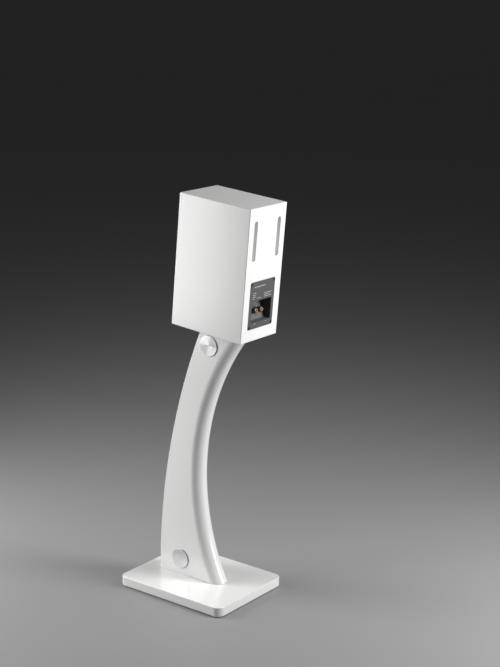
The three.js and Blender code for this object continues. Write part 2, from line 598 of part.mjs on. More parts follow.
/** The leads from the board to the drivers. */
function buildLeads() {
  const leads = new THREE.Group();
  const start = BOARD.front - 0.6;
  const wooferRoute = [
    [-37, start, 72], [-40, 44, 72], [-44, 15, 68], [-45, -20, 66], [-43, -48, 68], [-39, -66, 72],
  ];
  const tweeterRoute = [
    [34, start, 126], [36, 44, 130], [34, 10, 150], [24, -30, 185], [12, -58, 204], [8, -72.8, 206],
  ];
  addPiece(leads, "woofer_lead", lead(wooferRoute, 1.8), CABLE_GREY);
  addPiece(leads, "tweeter_lead", lead(tweeterRoute, 1.8), CABLE_GREY);
  return leads;
}

// ---------------------------------------------------------------- assembly
const speaker = new THREE.Group();
speaker.position.set(0, CABINET_PLACE.y, CABINET_PLACE.z);
speaker.rotation.x = CABINET_PLACE.lean;
speaker.add(buildCabinet(), buildTerminals(), buildCrossover(), buildWoofer(), buildTweeter(), buildLeads());

const assembly = new THREE.Group();
assembly.add(buildStand(), speaker);

// The whole object's box reaches from the base board's front to the cabinet's top rear edge.
const cabinetReach = halfDepth * Math.cos(CABINET_PLACE.lean) - CABINET.height * Math.sin(CABINET_PLACE.lean);
assembly.position.y = -(CABINET_PLACE.y + cabinetReach - BASE.depth / 2) / 2;

const standSpeaker = new THREE.Group();
standSpeaker.add(assembly);

export default standSpeaker;
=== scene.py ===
"""A compact two-way loudspeaker that leans back on a curved floor stand.

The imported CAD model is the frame. Every piece is made in millimetres in its sub-assembly's own
frame, is set in place in its mesh, and rides on a CAD body by name.
"""

from __future__ import annotations

import json
import logging
import math
from dataclasses import dataclass
from enum import Enum
from typing import Callable, Sequence, Union

import bmesh
import bpy
from mathutils import Matrix, Vector, noise
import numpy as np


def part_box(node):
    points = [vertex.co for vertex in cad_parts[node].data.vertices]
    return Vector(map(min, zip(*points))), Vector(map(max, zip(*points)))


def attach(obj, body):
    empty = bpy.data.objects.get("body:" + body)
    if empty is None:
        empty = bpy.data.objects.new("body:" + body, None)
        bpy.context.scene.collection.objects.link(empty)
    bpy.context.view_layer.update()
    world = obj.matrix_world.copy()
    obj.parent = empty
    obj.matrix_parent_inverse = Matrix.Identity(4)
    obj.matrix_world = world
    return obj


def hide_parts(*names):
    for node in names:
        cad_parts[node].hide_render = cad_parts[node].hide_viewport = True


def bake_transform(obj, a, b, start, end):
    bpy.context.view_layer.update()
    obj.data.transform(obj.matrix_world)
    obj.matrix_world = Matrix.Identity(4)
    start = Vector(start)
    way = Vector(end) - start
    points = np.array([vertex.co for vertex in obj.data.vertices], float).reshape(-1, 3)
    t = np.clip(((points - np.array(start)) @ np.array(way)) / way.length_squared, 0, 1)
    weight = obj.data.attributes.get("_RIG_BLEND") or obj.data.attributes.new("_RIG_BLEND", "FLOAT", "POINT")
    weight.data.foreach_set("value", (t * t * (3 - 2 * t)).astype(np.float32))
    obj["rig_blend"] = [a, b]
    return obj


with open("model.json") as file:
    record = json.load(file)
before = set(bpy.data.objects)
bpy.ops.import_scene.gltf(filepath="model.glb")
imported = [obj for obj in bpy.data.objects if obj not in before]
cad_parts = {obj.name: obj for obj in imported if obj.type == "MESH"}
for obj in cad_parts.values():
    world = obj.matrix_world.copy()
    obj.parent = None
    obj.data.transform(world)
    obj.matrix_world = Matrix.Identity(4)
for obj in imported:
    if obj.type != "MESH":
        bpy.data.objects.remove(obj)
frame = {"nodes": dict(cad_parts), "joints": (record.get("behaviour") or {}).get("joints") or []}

# One millimetre in Blender's metres. Every other length here is in millimetres unless it says metres.
MM = 0.001
FULL_TURN = 2 * math.pi

# How many steps go round a large, a medium and a small circle.
LARGE_ROUND = 96
MEDIUM_ROUND = 48
SMALL_ROUND = 24

# The clearance between two fitted pieces, and how far a cutter stands out of what it cuts.
GAP = 0.3
CUT_EXTRA = 5.0

# The cabinet's sizes that its own frame is worked out from.
CABINET_HALF_DEPTH = 97.5
CABINET_WALL = 12.0
BAFFLE_THICKNESS = 15.0

Point = tuple[float, float, float]
Colour = tuple[float, float, float]
Profile = Sequence[tuple[float, float]]

log = logging.getLogger("loudspeaker")


class Body(Enum):
    """The CAD bodies that pieces ride on."""

    STAND = "speaker_and_stand"
    WOOFER_CONE = "woofer_cone_body"
    TWEETER_DOME = "tweeter_dome_body"
    RED_TRAVEL = "red_post_travel"
    RED_CAP = "red_post_cap"
    BLACK_TRAVEL = "black_post_travel"
    BLACK_CAP = "black_post_cap"


class Slot(Enum):
    """The record's material slots."""

    WHITE_LACQUER = "white_lacquer"
    TURNED_ALUMINIUM = "turned_aluminium"
    ZINC_STEEL = "zinc_steel"
    DARK_STEEL = "dark_steel"
    WHITE_STEEL = "white_steel"
    FOOT_RUBBER = "foot_rubber"
    GREY_PLATE = "grey_plate"
    BLACK_PLASTIC = "black_plastic"
    GOLD_PLATE = "gold_plate"
    RED_BAND = "red_band"
    BLACK_BAND = "black_band"
    CIRCUIT_BOARD = "circuit_board"
    COPPER_WINDING = "copper_winding"
    FILM_CAPACITOR = "film_capacitor"
    RESISTOR_CERAMIC = "resistor_ceramic"
    WADDING = "wadding"
    LEAD_SHEATH = "lead_sheath"
    FERRITE = "ferrite"
    CONE_FIBRE = "cone_fibre"
    SURROUND_RUBBER = "surround_rubber"
    SILK = "silk"
    SPIDER_CLOTH = "spider_cloth"


# ---------------------------------------------------------------- frames
@dataclass(frozen=True)
class Frames:
    """Where the stand and the leaning cabinet have their own frames, in metres."""

    stand: Matrix
    cabinet: Matrix

    @classmethod
    def from_cad(cls) -> Frames:
        """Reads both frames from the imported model.

        Returns:
            The stand's frame, on the floor under the base board's middle, and the cabinet's
            frame, at the middle of its underside with the lean of the drivers' axis.
        """
        low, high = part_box("base_board")
        stand = Matrix.Translation(((low.x + high.x) / 2, (low.y + high.y) / 2, 0))
        stroke = next(joint for joint in frame["joints"] if joint["name"] == "woofer_cone_stroke")
        lean = math.atan2(stroke["axis"][2], -stroke["axis"][1])
        low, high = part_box("front_baffle")
        cos, sin = math.cos(lean), math.sin(lean)
        front = CABINET_HALF_DEPTH * MM
        back = (CABINET_HALF_DEPTH - BAFFLE_THICKNESS) * MM
        bottom = (CABINET_WALL + GAP) * MM
        origin = (0, low.y + front * cos - bottom * sin, low.z - back * sin - bottom * cos)
        return cls(stand, Matrix.Translation(origin) @ Matrix.Rotation(-lean, 4, "X"))

    def cabinet_in_stand(self) -> Matrix:
        """The cabinet's frame seen from the stand's frame, in millimetres.

        Returns:
            The frame.
        """
        relative = self.stand.inverted() @ self.cabinet
        relative.translation /= MM
        return relative


FRAMES = Frames.from_cad()


def shifted(place: Matrix, offset: Point, turn: float = 0.0) -> Matrix:
    """A frame moved by an offset in its own axes and then turned about X.

    Args:
        place: The frame to start from, in metres.
        offset: The move, in millimetres.
        turn: The turn about X, in radians.

    Returns:
        The new frame, in metres.
    """
    return place @ Matrix.Translation(Vector(offset) * MM) @ Matrix.Rotation(turn, 4, "X")


# ---------------------------------------------------------------- shader recipes
class Signal:
    """One output of a material's nodes, with arithmetic that adds Math nodes."""

    def __init__(self, recipe: Recipe, socket: bpy.types.NodeSocket) -> None:
        """Keeps the recipe that the socket belongs to."""
        self.recipe = recipe
        self.socket = socket

    def maths(self, operation: str, *values: Feed) -> Signal:
        """Adds one Math node that works on these values."""
        return self.recipe.node("ShaderNodeMath", {"operation": operation}, dict(enumerate(values)))

    def __add__(self, other: Feed) -> Signal:
        """self + other."""
        return self.maths("ADD", self, other)

    def __radd__(self, other: Feed) -> Signal:
        """other + self."""
        return self.maths("ADD", other, self)

    def __sub__(self, other: Feed) -> Signal:
        """self - other."""
        return self.maths("SUBTRACT", self, other)

    def __rsub__(self, other: Feed) -> Signal:
        """other - self."""
        return self.maths("SUBTRACT", other, self)

    def __mul__(self, other: Feed) -> Signal:
        """self * other."""
        return self.maths("MULTIPLY", self, other)

    def __rmul__(self, other: Feed) -> Signal:
        """other * self."""
        return self.maths("MULTIPLY", other, self)

    def __gt__(self, other: Feed) -> Signal:
        """1 where self is above other, else 0."""
        return self.maths("GREATER_THAN", self, other)

    def __abs__(self) -> Signal:
        """self without its sign."""
        return self.maths("ABSOLUTE", self)

    def wave(self, pitch: float) -> Signal:
        """A sine wave of self, from -1 to 1, that repeats every pitch."""
        return self.maths("SINE", self * (FULL_TURN / pitch))

    def between(self, low: float, high: float) -> Signal:
        """self mapped so that low gives 0 and high gives 1, with smooth ends."""
        settings = {"interpolation_type": "SMOOTHSTEP"}
        return self.recipe.node("ShaderNodeMapRange", settings, {"Value": self, 1: low, 2: high})


Feed = Union[Signal, float, Sequence[float]]


class Recipe:
    """The node tree of one material."""

    def __init__(self, name: str) -> None:
        """Starts an empty material.

        Args:
            name: The material's name.
        """
        self.material = bpy.data.materials.new(name)
        self.material.use_nodes = True
        self.tree = self.material.node_tree
        self.tree.nodes.clear()

    def node(self, kind: str, settings: dict, feeds: dict, output: int | str = 0) -> Signal:
        """Adds one node: its settings first, then the values or links of its sockets.

        Args:
            kind: The node's type.
            settings: Its properties, by name.
            feeds: Its inputs, by name or number.
            output: Which output is wanted.

        Returns:
            That output.
        """
        made = self.tree.nodes.new(kind)
        for key, value in settings.items():
            setattr(made, key, value)
        for key, value in feeds.items():
            socket = made.inputs[key]
            if isinstance(value, Signal):
                self.tree.links.new(value.socket, socket)
            elif socket.type == "RGBA":
                socket.default_value = (*value, 1.0)
            else:
                socket.default_value = value
        return Signal(self, made.outputs[output])

    def local(self, place: Matrix) -> Signal:
        """Millimetres in a sub-assembly's frame, from the piece's object coordinates.

        Args:
            place: The sub-assembly's frame, in metres.

        Returns:
            The place as a vector.
        """
        inverse = place.inverted()
        feeds = {
            "Vector": self.node("ShaderNodeTexCoord", {}, {}, "Object"),
            "Location": inverse.translation / MM,
            "Rotation": inverse.to_euler(),
            "Scale": (1 / MM, 1 / MM, 1 / MM),
        }
        return self.node("ShaderNodeMapping", {}, feeds)

    def vector(self, operation: str, *values: Feed, output: int | str = 0) -> Signal:
        """Adds one Vector Math node."""
        return self.node("ShaderNodeVectorMath", {"operation": operation}, dict(enumerate(values)), output)

    def parts(self, place: Signal) -> tuple[Signal, Signal, Signal]:
        """The x, y and z of a vector."""
        split = self.node("ShaderNodeSeparateXYZ", {}, {0: place}).socket.node
        return tuple(Signal(self, output) for output in split.outputs)

    def together(self, x: Feed, y: Feed, z: Feed) -> Signal:
        """A vector from its x, y and z."""
        return self.node("ShaderNodeCombineXYZ", {}, {0: x, 1: y, 2: z})

    def noise(self, place: Signal, size: float, detail: float = 2.0) -> Signal:
        """Smooth random values from 0 to 1, with features of this size."""
        feeds = {"Vector": place, "Scale": 1 / size, "Detail": detail}
        return self.node("ShaderNodeTexNoise", {}, feeds)

    def mix(self, factor: Feed, first: Feed, second: Feed) -> Signal:
        """A colour between two colours."""
        feeds = {0: factor, 6: first, 7: second}
        return self.node("ShaderNodeMix", {"data_type": "RGBA"}, feeds, 2)

    def shades(self, factor: Feed, colour: Colour, darkest: float) -> Signal:
        """A colour that varies down to a share of itself."""
        return self.mix(factor, tuple(channel * darkest for channel in colour), colour)

    def bump(self, height: Signal, depth: float) -> Signal:
        """A normal for a surface that rises by height times depth, in millimetres."""
        return self.node("ShaderNodeBump", {}, {"Height": height, "Distance": depth * MM}, "Normal")

    def surface(self, feeds: dict[str, Feed]) -> None:
        """Ends the material in a Principled BSDF with these inputs.

        Args:
            feeds: The inputs, by name.
        """
        shader = self.node("ShaderNodeBsdfPrincipled", {}, feeds)
        output = self.tree.nodes.new("ShaderNodeOutputMaterial")
        self.tree.links.new(shader.socket, output.inputs["Surface"])


# ---------------------------------------------------------------- finishes
@dataclass(frozen=True, eq=False)
class Finish:
    """What every finish has: a name, the record's slot, a colour and the frame of its pattern."""

    name: str
    slot: Slot
    colour: Colour
    place: Matrix

    def dress(self, recipe: Recipe) -> None:
        """Writes the finish's nodes."""
        raise NotImplementedError


@dataclass(frozen=True, eq=False)
class Lacquer(Finish):
    """Sprayed lacquer, rubbed down and polished."""

    roughness: float = 0.24
    coat: float = 0.45
    coat_roughness: float = 0.14
    peel_size: float = 4.5
    peel_depth: float = 0.004

    def dress(self, recipe: Recipe) -> None:
        """A faint orange peel under a clear gloss, with hardly visible clouding.

        Args:
            recipe: The node tree that it writes to.
        """
        place = recipe.local(self.place)
        cloud = recipe.noise(place, 70.0, 3.0)
        peel = recipe.noise(place, self.peel_size, 1.0)
        recipe.surface({
            "Base Color": recipe.shades(cloud, self.colour, 0.985),
            "Roughness": cloud * 0.05 + (self.roughness - 0.025),
            "Coat Weight": self.coat,
            "Coat Roughness": self.coat_roughness,
            "Normal": recipe.bump(peel, self.peel_depth),
        })


@dataclass(frozen=True, eq=False)
class TurnedMetal(Finish):
    """A face turned in a lathe, with its axis along the frame's X."""

    roughness: float = 0.24
    pitch: float = 0.32
    tilt: float = 0.16

    def dress(self, recipe: Recipe) -> None:
        """Fine concentric tool marks that tip the face's normal in and out.

        Args:
            recipe: The node tree that it writes to.
        """
        _, y, z = recipe.parts(recipe.local(self.place))
        outward = recipe.together(0.0, y, z)
        radius = recipe.vector("LENGTH", outward, output="Value")
        marks = radius.wave(self.pitch) * 0.7 + radius.wave(self.pitch * 0.37) * 0.3
        normal = recipe.node("ShaderNodeNewGeometry", {}, {}, "Normal")
        facing = abs(recipe.parts(normal)[0]) > 0.9
        tip = recipe.node(
            "ShaderNodeVectorMath",
            {"operation": "SCALE"},
            {0: recipe.vector("NORMALIZE", outward), "Scale": marks * facing * self.tilt},
        )
        haze = recipe.noise(recipe.together(radius * 3.0, 0.0, 0.0), 2.0, 2.0)
        recipe.surface({
            "Base Color": recipe.shades(haze, self.colour, 0.9),
            "Metallic": 1.0,
            "Roughness": haze * 0.1 + self.roughness,
            "Normal": recipe.vector("NORMALIZE", recipe.vector("ADD", normal, tip)),
        })


@dataclass(frozen=True, eq=False)
class Metal(Finish):
    """Plated or blackened metal with a fine drawn grain."""

    roughness: float = 0.3
    metallic: float = 1.0
    grain: float = 0.4

    def dress(self, recipe: Recipe) -> None:
        """Uneven plating over fine scratches along the piece.

        Args:
            recipe: The node tree that it writes to.
        """
        place = recipe.local(self.place)
        x, y, z = recipe.parts(place)
        patina = recipe.noise(place, 6.0, 4.0)
        drawn = recipe.noise(recipe.together(x * 8.0, y * 0.5, z * 8.0), 2.0, 3.0)
        recipe.surface({
            "Base Color": recipe.shades(patina, self.colour, 0.82),
            "Metallic": self.metallic,
            "Roughness": patina * 0.16 + drawn * 0.06 + (self.roughness - 0.1),
            "Normal": recipe.bump(drawn, 0.004 * self.grain),
        })


@dataclass(frozen=True, eq=False)
class Moulding(Finish):
    """Moulded plastic or rubber, with a spark-eroded texture."""

    roughness: float = 0.45
    texture_size: float = 0.8
    texture_depth: float = 0.02
    coat: float = 0.0

    def dress(self, recipe: Recipe) -> None:
        """A fine grained skin with a slightly cloudy gloss.

        Args:
            recipe: The node tree that it writes to.
        """
        place = recipe.local(self.place)
        grain = recipe.noise(place, self.texture_size, 3.0)
        cloud = recipe.noise(place, 18.0, 2.0)
        recipe.surface({
            "Base Color": recipe.shades(cloud, self.colour, 0.86),
            "Roughness": cloud * 0.12 + grain * 0.08 + (self.roughness - 0.1),
            "Coat Weight": self.coat,
            "Coat Roughness": 0.08,
            "Normal": recipe.bump(grain, self.texture_depth),
        })


@dataclass(frozen=True, eq=False)
class PowderCoat(Finish):
    """Baked powder paint with its pebbled skin."""

    roughness: float = 0.36

    def dress(self, recipe: Recipe) -> None:
        """Rounded pebbles about a millimetre across.

        Args:
            recipe: The node tree that it writes to.
        """
        place = recipe.local(self.place)
        pebbles = recipe.noise(place, 1.1, 1.0).between(0.3, 0.7)
        cloud = recipe.noise(place, 25.0, 3.0)
        recipe.surface({
            "Base Color": recipe.shades(cloud, self.colour, 0.95),
            "Roughness": pebbles * 0.1 + (self.roughness - 0.05),
            "Normal": recipe.bump(pebbles, 0.012),
        })


@dataclass(frozen=True, eq=False)
class SatinPaint(Finish):
    """Satin metal paint with fine flakes."""

    roughness: float = 0.52

    def dress(self, recipe: Recipe) -> None:
        """Pale flakes in a grey paint, with a little handling sheen.

        Args:
            recipe: The node tree that it writes to.
        """
        place = recipe.local(self.place)
        flakes = recipe.noise(place, 0.35, 1.0).between(0.5, 0.78)
        handled = recipe.noise(place, 30.0, 4.0)
        lighter = tuple(min(1.0, channel * 1.7) for channel in self.colour)
        recipe.surface({
            "Base Color": recipe.mix(flakes * 0.5, self.colour, lighter),
            "Metallic": 0.15,
            "Roughness": handled * 0.16 + (self.roughness - 0.08),
            "Normal": recipe.bump(flakes, 0.006),
        })


@dataclass(frozen=True, eq=False)
class Ink(Finish):
    """Screen-printed ink."""

    def dress(self, recipe: Recipe) -> None:
        """Slightly broken coverage.

        Args:
            recipe: The node tree that it writes to.
        """
        cover = recipe.noise(recipe.local(self.place), 0.5, 2.0)
        recipe.surface({
            "Base Color": recipe.shades(cover, self.colour, 0.75),
            "Roughness": cover * 0.2 + 0.45,
        })


@dataclass(frozen=True, eq=False)
class SolderMask(Finish):
    """A circuit board: copper tracks under green lacquer, with tinned pads."""

    def dress(self, recipe: Recipe) -> None:
        """Parallel tracks in blocks, and a grid of pads.

        Args:
            recipe: The node tree that it writes to.
        """
        place = recipe.local(self.place)
        x, _, z = recipe.parts(place)
        blocks = recipe.noise(recipe.together(x, 0.0, z), 26.0, 0.0) > 0.5
        across = x.wave(4.2) > 0.55
        upright = z.wave(4.2) > 0.55
        tracks = across * blocks + upright * (1 - blocks)
        spots = (x.wave(12.0) * z.wave(12.0)) > 0.93
        mask = recipe.mix(tracks, self.colour, (0.11, 0.30, 0.12))
        recipe.surface({
            "Base Color": recipe.mix(spots, mask, (0.72, 0.72, 0.70)),
            "Metallic": spots * 0.9,
            "Roughness": 0.42 - tracks * 0.1,
            "Normal": recipe.bump(tracks + spots, 0.05),
        })


@dataclass(frozen=True, eq=False)
class WoundWire(Finish):
    """Enamelled wire wound in even turns along the frame's Y."""

    wire: float = 0.9

    def dress(self, recipe: Recipe) -> None:
        """Round turns, with painted shade as dark lines in the gaps between them.

        Args:
            recipe: The node tree that it writes to.
        """
        place = recipe.local(self.place)
        turn = abs(recipe.parts(place)[1].wave(2 * self.wire))
        enamel = recipe.noise(place, 5.0, 3.0)
        copper = recipe.shades(enamel, self.colour, 0.75)
        # The dark colour where turn is low, in the gaps between the turns, is painted shade.
        recipe.surface({
            "Base Color": recipe.mix(turn.between(0.05, 0.4), (0.08, 0.02, 0.01), copper),
            "Metallic": 0.9,
            "Roughness": enamel * 0.15 + 0.25,
            "Normal": recipe.bump(turn, 0.2 * self.wire),
        })


@dataclass(frozen=True, eq=False)
class FilmWrap(Finish):
    """A capacitor's wrapped film, with its axis along the frame's X and resin at its ends."""

    half_length: float = 15.0

    def dress(self, recipe: Recipe) -> None:
        """Faint wraps, one dark polarity ring and darker resin ends.

        Args:
            recipe: The node tree that it writes to.
        """
        place = recipe.local(self.place)
        x, y, z = recipe.parts(place)
        wraps = recipe.noise(recipe.together(x * 0.3, y * 4.0, z * 4.0), 6.0, 2.0)
        resin = abs(x).between(self.half_length - 1.0, self.half_length - 0.4)
        ring = abs(x - (self.half_length - 5.0)).between(1.2, 0.9)
        film = recipe.mix(ring, recipe.shades(wraps, self.colour, 0.85), (0.05, 0.04, 0.03))
        recipe.surface({
            "Base Color": recipe.mix(resin, film, (0.42, 0.24, 0.05)),
            "Roughness": wraps * 0.1 + 0.28,
            "Normal": recipe.bump(wraps, 0.05),
        })


@dataclass(frozen=True, eq=False)
class Ceramic(Finish):
    """Cast ceramic or sintered ferrite, with pores."""

    roughness: float = 0.7
    pore: float = 0.7
    depth: float = 0.05

    def dress(self, recipe: Recipe) -> None:
        """A fine pitted body with darker pores.

        Args:
            recipe: The node tree that it writes to.
        """
        place = recipe.local(self.place)
        pores = recipe.noise(place, self.pore, 4.0).between(0.62, 0.35)
        cloud = recipe.noise(place, 14.0, 3.0)
        recipe.surface({
            "Base Color": recipe.shades(pores * 0.6 + cloud * 0.4, self.colour, 0.7),
            "Roughness": cloud * 0.15 + (self.roughness - 0.08),
            "Normal": recipe.bump(pores, self.depth),
        })


@dataclass(frozen=True, eq=False)
class PulpCone(Finish):
    """Pressed paper pulp with fibres that fan out from the frame's Y axis."""

    def dress(self, recipe: Recipe) -> None:
        """Radial fibres and faint pressing rings under a thin sealing coat.

        Args:
            recipe: The node tree that it writes to.
        """
        x, _, z = recipe.parts(recipe.local(self.place))
        radius = recipe.vector("LENGTH", recipe.together(x, 0.0, z), output="Value")
        angle = x.maths("ARCTAN2", x, z)
        fibres = recipe.noise(recipe.together(angle * 30.0, radius * 0.25, 0.0), 1.0, 4.0)
        rings = radius.wave(2.4) * 0.5 + 0.5
        recipe.surface({
            "Base Color": recipe.mix(fibres.between(0.35, 0.75), self.colour, (0.10, 0.10, 0.105)),
            "Roughness": fibres * 0.25 + 0.45,
            "Normal": recipe.bump(fibres + rings * 0.15, 0.06),
        })


@dataclass(frozen=True, eq=False)
class Woven(Finish):
    """Fine cloth in a plain weave across the frame's X and Z."""

    thread: float = 0.5
    roughness: float = 0.6
    depth: float = 0.06

    def dress(self, recipe: Recipe) -> None:
        """Threads that pass over and under each other, darker where the weave is low as painted shade, with
        a little dip unevenness.

        Args:
            recipe: The node tree that it writes to.
        """
        place = recipe.local(self.place)
        x, _, z = recipe.parts(place)
        weave = x.wave(2 * self.thread) * z.wave(2 * self.thread) * 0.5 + 0.5
        dip = recipe.noise(place, 5.0, 3.0)
        # The colour darkens where the weave's bump is low: painted shade between the threads. The dip noise
        # is the cloth's own uneven tone.
        recipe.surface({
            "Base Color": recipe.shades(weave * 0.6 + dip * 0.4, self.colour, 0.55),
            "Roughness": dip * 0.2 + (self.roughness - 0.1),
            "Normal": recipe.bump(weave, self.depth),
        })


@dataclass(frozen=True, eq=False)
class Fleece(Finish):
    """Lofty polyester wadding."""

    def dress(self, recipe: Recipe) -> None:
        """Tangled fibres with soft hollows, darker where the bump is low as painted shade.

        Args:
            recipe: The node tree that it writes to.
        """
        place = recipe.local(self.place)
        tangle = recipe.noise(place, 1.2, 6.0)
        hollows = recipe.noise(place, 9.0, 3.0)
        # The colour follows the bump's height and is darker in the low spots: painted shade in the hollows.
        recipe.surface({
            "Base Color": recipe.shades(tangle * 0.5 + hollows * 0.5, self.colour, 0.7),
            "Roughness": 0.95,
            "Sheen Weight": 0.5,
            "Normal": recipe.bump(tangle + hollows, 0.7),
        })


@dataclass(frozen=True, eq=False)
class StudioFloor(Finish):
    """A matt painted studio floor."""

    def dress(self, recipe: Recipe) -> None:
        """Plain, with hardly visible rolling marks.

        Args:
            recipe: The node tree that it writes to.
        """
        cloud = recipe.noise(recipe.local(self.place), 900.0, 4.0)
        recipe.surface({
            "Base Color": recipe.shades(cloud, self.colour, 0.97),
            "Roughness": cloud * 0.1 + 0.55,
        })


# ---------------------------------------------------------------- shapes
class Shape:
    """A solid under construction, in millimetres."""

    def __init__(self) -> None:
        """Starts with an empty mesh."""
        self.mesh = bmesh.new()

    @classmethod
    def block(cls, low: Point, high: Point) -> Shape:
        """A box between two corners.

        Args:
            low: The corner with the least x, y and z.
            high: The opposite corner.

        Returns:
            The box.
        """
        shape = cls()
        size = Vector(high) - Vector(low)
        place = Matrix.Translation((Vector(high) + Vector(low)) / 2)
        bmesh.ops.create_cube(shape.mesh, size=1.0, matrix=place @ Matrix.Diagonal((*size, 1.0)))
        return shape

    @classmethod
    def plate(cls, width: float, depth: float, thickness: float, corner: float, steps: int = 12) -> Shape:
        """A flat plate with round corners, centred on the origin, from z = 0 up.

        Args:
            width: Its size along X.
            depth: Its size along Y.
            thickness: Its size along Z.
            corner: The radius of its corners.
            steps: The number of steps round each corner.

        Returns:
            The plate.
        """
        shape = cls()
        size = Matrix.Diagonal((width, depth, 1.0, 1.0))
        bmesh.ops.create_grid(shape.mesh, x_segments=1, y_segments=1, size=0.5, matrix=size)
        bmesh.ops.bevel(
            shape.mesh, geom=shape.mesh.verts[:], offset=corner, offset_type="OFFSET",
            segments=steps, profile=0.5, affect="VERTICES", material=-1,
        )
        return shape.extruded((0.0, 0.0, thickness))

    @classmethod
    def standing(cls, half_width: float, bottom: float, top: float, corner: float,
                 start: float, end: float) -> Shape:
        """A round-cornered plate in the X-Z plane, from y = start to y = end.

        Args:
            half_width: Half its width.
            bottom: Its lower edge.
            top: Its upper edge.
            corner: The radius of its corners.
            start: Its front.
            end: Its back.

        Returns:
            The plate.
        """
        shape = cls.plate(2 * half_width, top - bottom, end - start, corner)
        return shape.turn("X", 90.0).move(0.0, end, (bottom + top) / 2)

    @classmethod
    def prism(cls, outline: Profile, left: float, right: float) -> Shape:
        """An outline of (y, z) corners, carried along X from left to right.

        Args:
            outline: The corners, in order.
            left: Its least x.
            right: Its greatest x.

        Returns:
            The solid.
        """
        shape = cls()
        shape.mesh.faces.new([shape.mesh.verts.new((left, y, z)) for y, z in outline])
        return shape.extruded((right - left, 0.0, 0.0))

    @classmethod
    def turned(cls, profile: Profile, steps: int = LARGE_ROUND) -> Shape:
        """A solid turned about Y.

        Args:
            profile: Its outline as (radius, y), either a ring or from axis to axis.
            steps: The number of steps round it.

        Returns:
            The closed solid.
        """
        shape = cls()
        corners = [shape.mesh.verts.new((radius, y, 0.0)) for radius, y in profile]
        on_axis = profile[0][0] == 0 and profile[-1][0] == 0
        ends = corners[1:] if on_axis else corners[1:] + corners[:1]
        sides = [shape.mesh.edges.new(pair) for pair in zip(corners, ends)]
        bmesh.ops.spin(
            shape.mesh, geom=corners + sides, cent=(0, 0, 0), axis=(0, 1, 0),
            angle=FULL_TURN, steps=steps, use_merge=True,
        )
        return shape.tidied()

    @classmethod
    def tube(cls, route: Sequence[Point], radius: float, steps: int = 12) -> Shape:
        """A round tube along a smooth route, with closed ends.

        Args:
            route: The points that it passes through.
            radius: Its radius.
            steps: The number of steps between two points.

        Returns:
            The tube.
        """
        curve = bpy.data.curves.new("route", "CURVE")
        curve.dimensions = "3D"
        curve.bevel_depth = radius
        curve.bevel_resolution = 3
        curve.use_fill_caps = True
        spline = curve.splines.new("BEZIER")
        spline.bezier_points.add(len(route) - 1)
        for knot, point in zip(spline.bezier_points, route):
            knot.co = point
            knot.handle_left_type = knot.handle_right_type = "AUTO"
        spline.resolution_u = steps
        carrier = bpy.data.objects.new("route", curve)
        bpy.context.scene.collection.objects.link(carrier)
        shape = cls()
        shape.take(carrier)
        bpy.data.objects.remove(carrier)
        bpy.data.curves.remove(curve)
        return shape.tidied()

    def take(self, holder: bpy.types.Object) -> None:
        """Puts an object's finished mesh into this shape.

        Args:
            holder: The object.
        """
        bpy.context.view_layer.update()
        ready = holder.evaluated_get(bpy.context.evaluated_depsgraph_get())
        mesh = bpy.data.meshes.new_from_object(ready)
        self.mesh.clear()
        self.mesh.from_mesh(mesh)
        bpy.data.meshes.remove(mesh)

    def tidied(self) -> Shape:
        """Merges doubles and turns every face outwards.

        Returns:
            The shape itself.
        """
        bmesh.ops.remove_doubles(self.mesh, verts=self.mesh.verts[:], dist=0.001)
        bmesh.ops.dissolve_degenerate(self.mesh, edges=self.mesh.edges[:], dist=0.0001)
        bmesh.ops.recalc_face_normals(self.mesh, faces=self.mesh.faces[:])
        return self

    def extruded(self, along: Point) -> Shape:
        """Gives a flat outline its thickness.

        Args:
            along: How far the outline is carried, and which way.

        Returns:
            The shape itself.
        """
        result = bmesh.ops.extrude_face_region(self.mesh, geom=self.mesh.faces[:])
        far = [item for item in result["geom"] if isinstance(item, bmesh.types.BMVert)]
        bmesh.ops.translate(self.mesh, verts=far, vec=along)
        return self.tidied()

    def placed(self, matrix: Matrix) -> Shape:
        """Moves the whole shape by a matrix."""
        bmesh.ops.transform(self.mesh, matrix=matrix, verts=self.mesh.verts[:])
        return self

    def move(self, x: float, y: float, z: float) -> Shape:
        """Moves the whole shape."""
        return self.placed(Matrix.Translation((x, y, z)))

    def turn(self, axis: str, degrees: float) -> Shape:
        """Turns the whole shape about an axis through the origin."""
        return self.placed(Matrix.Rotation(math.radians(degrees), 4, axis))

    def soften(self, width: float, steps: int = 2, crease: float = 35.0,
               keep: Callable[[Vector], bool] = lambda middle: True) -> Shape:
        """Rounds the sharp edges.

        Args:
            width: The width of the rounding.
            steps: The number of steps across it.
            crease: The least angle of a sharp edge, in degrees.
            keep: Says by an edge's middle whether the edge is rounded.

        Returns:
            The shape itself.
        """
        edges = [
            edge for edge in self.mesh.edges
            if len(edge.link_faces) == 2
            and edge.calc_face_angle() > math.radians(crease)
            and keep((edge.verts[0].co + edge.verts[1].co) / 2)
        ]
        bmesh.ops.bevel(
            self.mesh, geom=edges, offset=width, offset_type="OFFSET", segments=steps,
            profile=0.5, affect="EDGES", clamp_overlap=True, material=-1,
        )
        return self

    def holder(self) -> bpy.types.Object:
        """A passing object with this shape's mesh.

        Returns:
            The object.
        """
        mesh = bpy.data.meshes.new("passing")
        self.mesh.to_mesh(mesh)
        holder = bpy.data.objects.new("passing", mesh)
        bpy.context.scene.collection.objects.link(holder)
        return holder

    def minus(self, *tools: Shape) -> Shape:
        """Cuts other solids away.

        Args:
            tools: The other solids.

        Returns:
            The shape itself.
        """
        base = self.holder()
        helpers = [tool.holder() for tool in tools]
        for helper in helpers:
            step = base.modifiers.new("step", "BOOLEAN")
            step.operation = "DIFFERENCE"
            step.solver = "EXACT"
            step.object = helper
        self.take(base)
        for used in (base, *helpers):
            mesh = used.data
            bpy.data.objects.remove(used)
            bpy.data.meshes.remove(mesh)
        bmesh.ops.remove_doubles(self.mesh, verts=self.mesh.verts[:], dist=0.001)
        return self

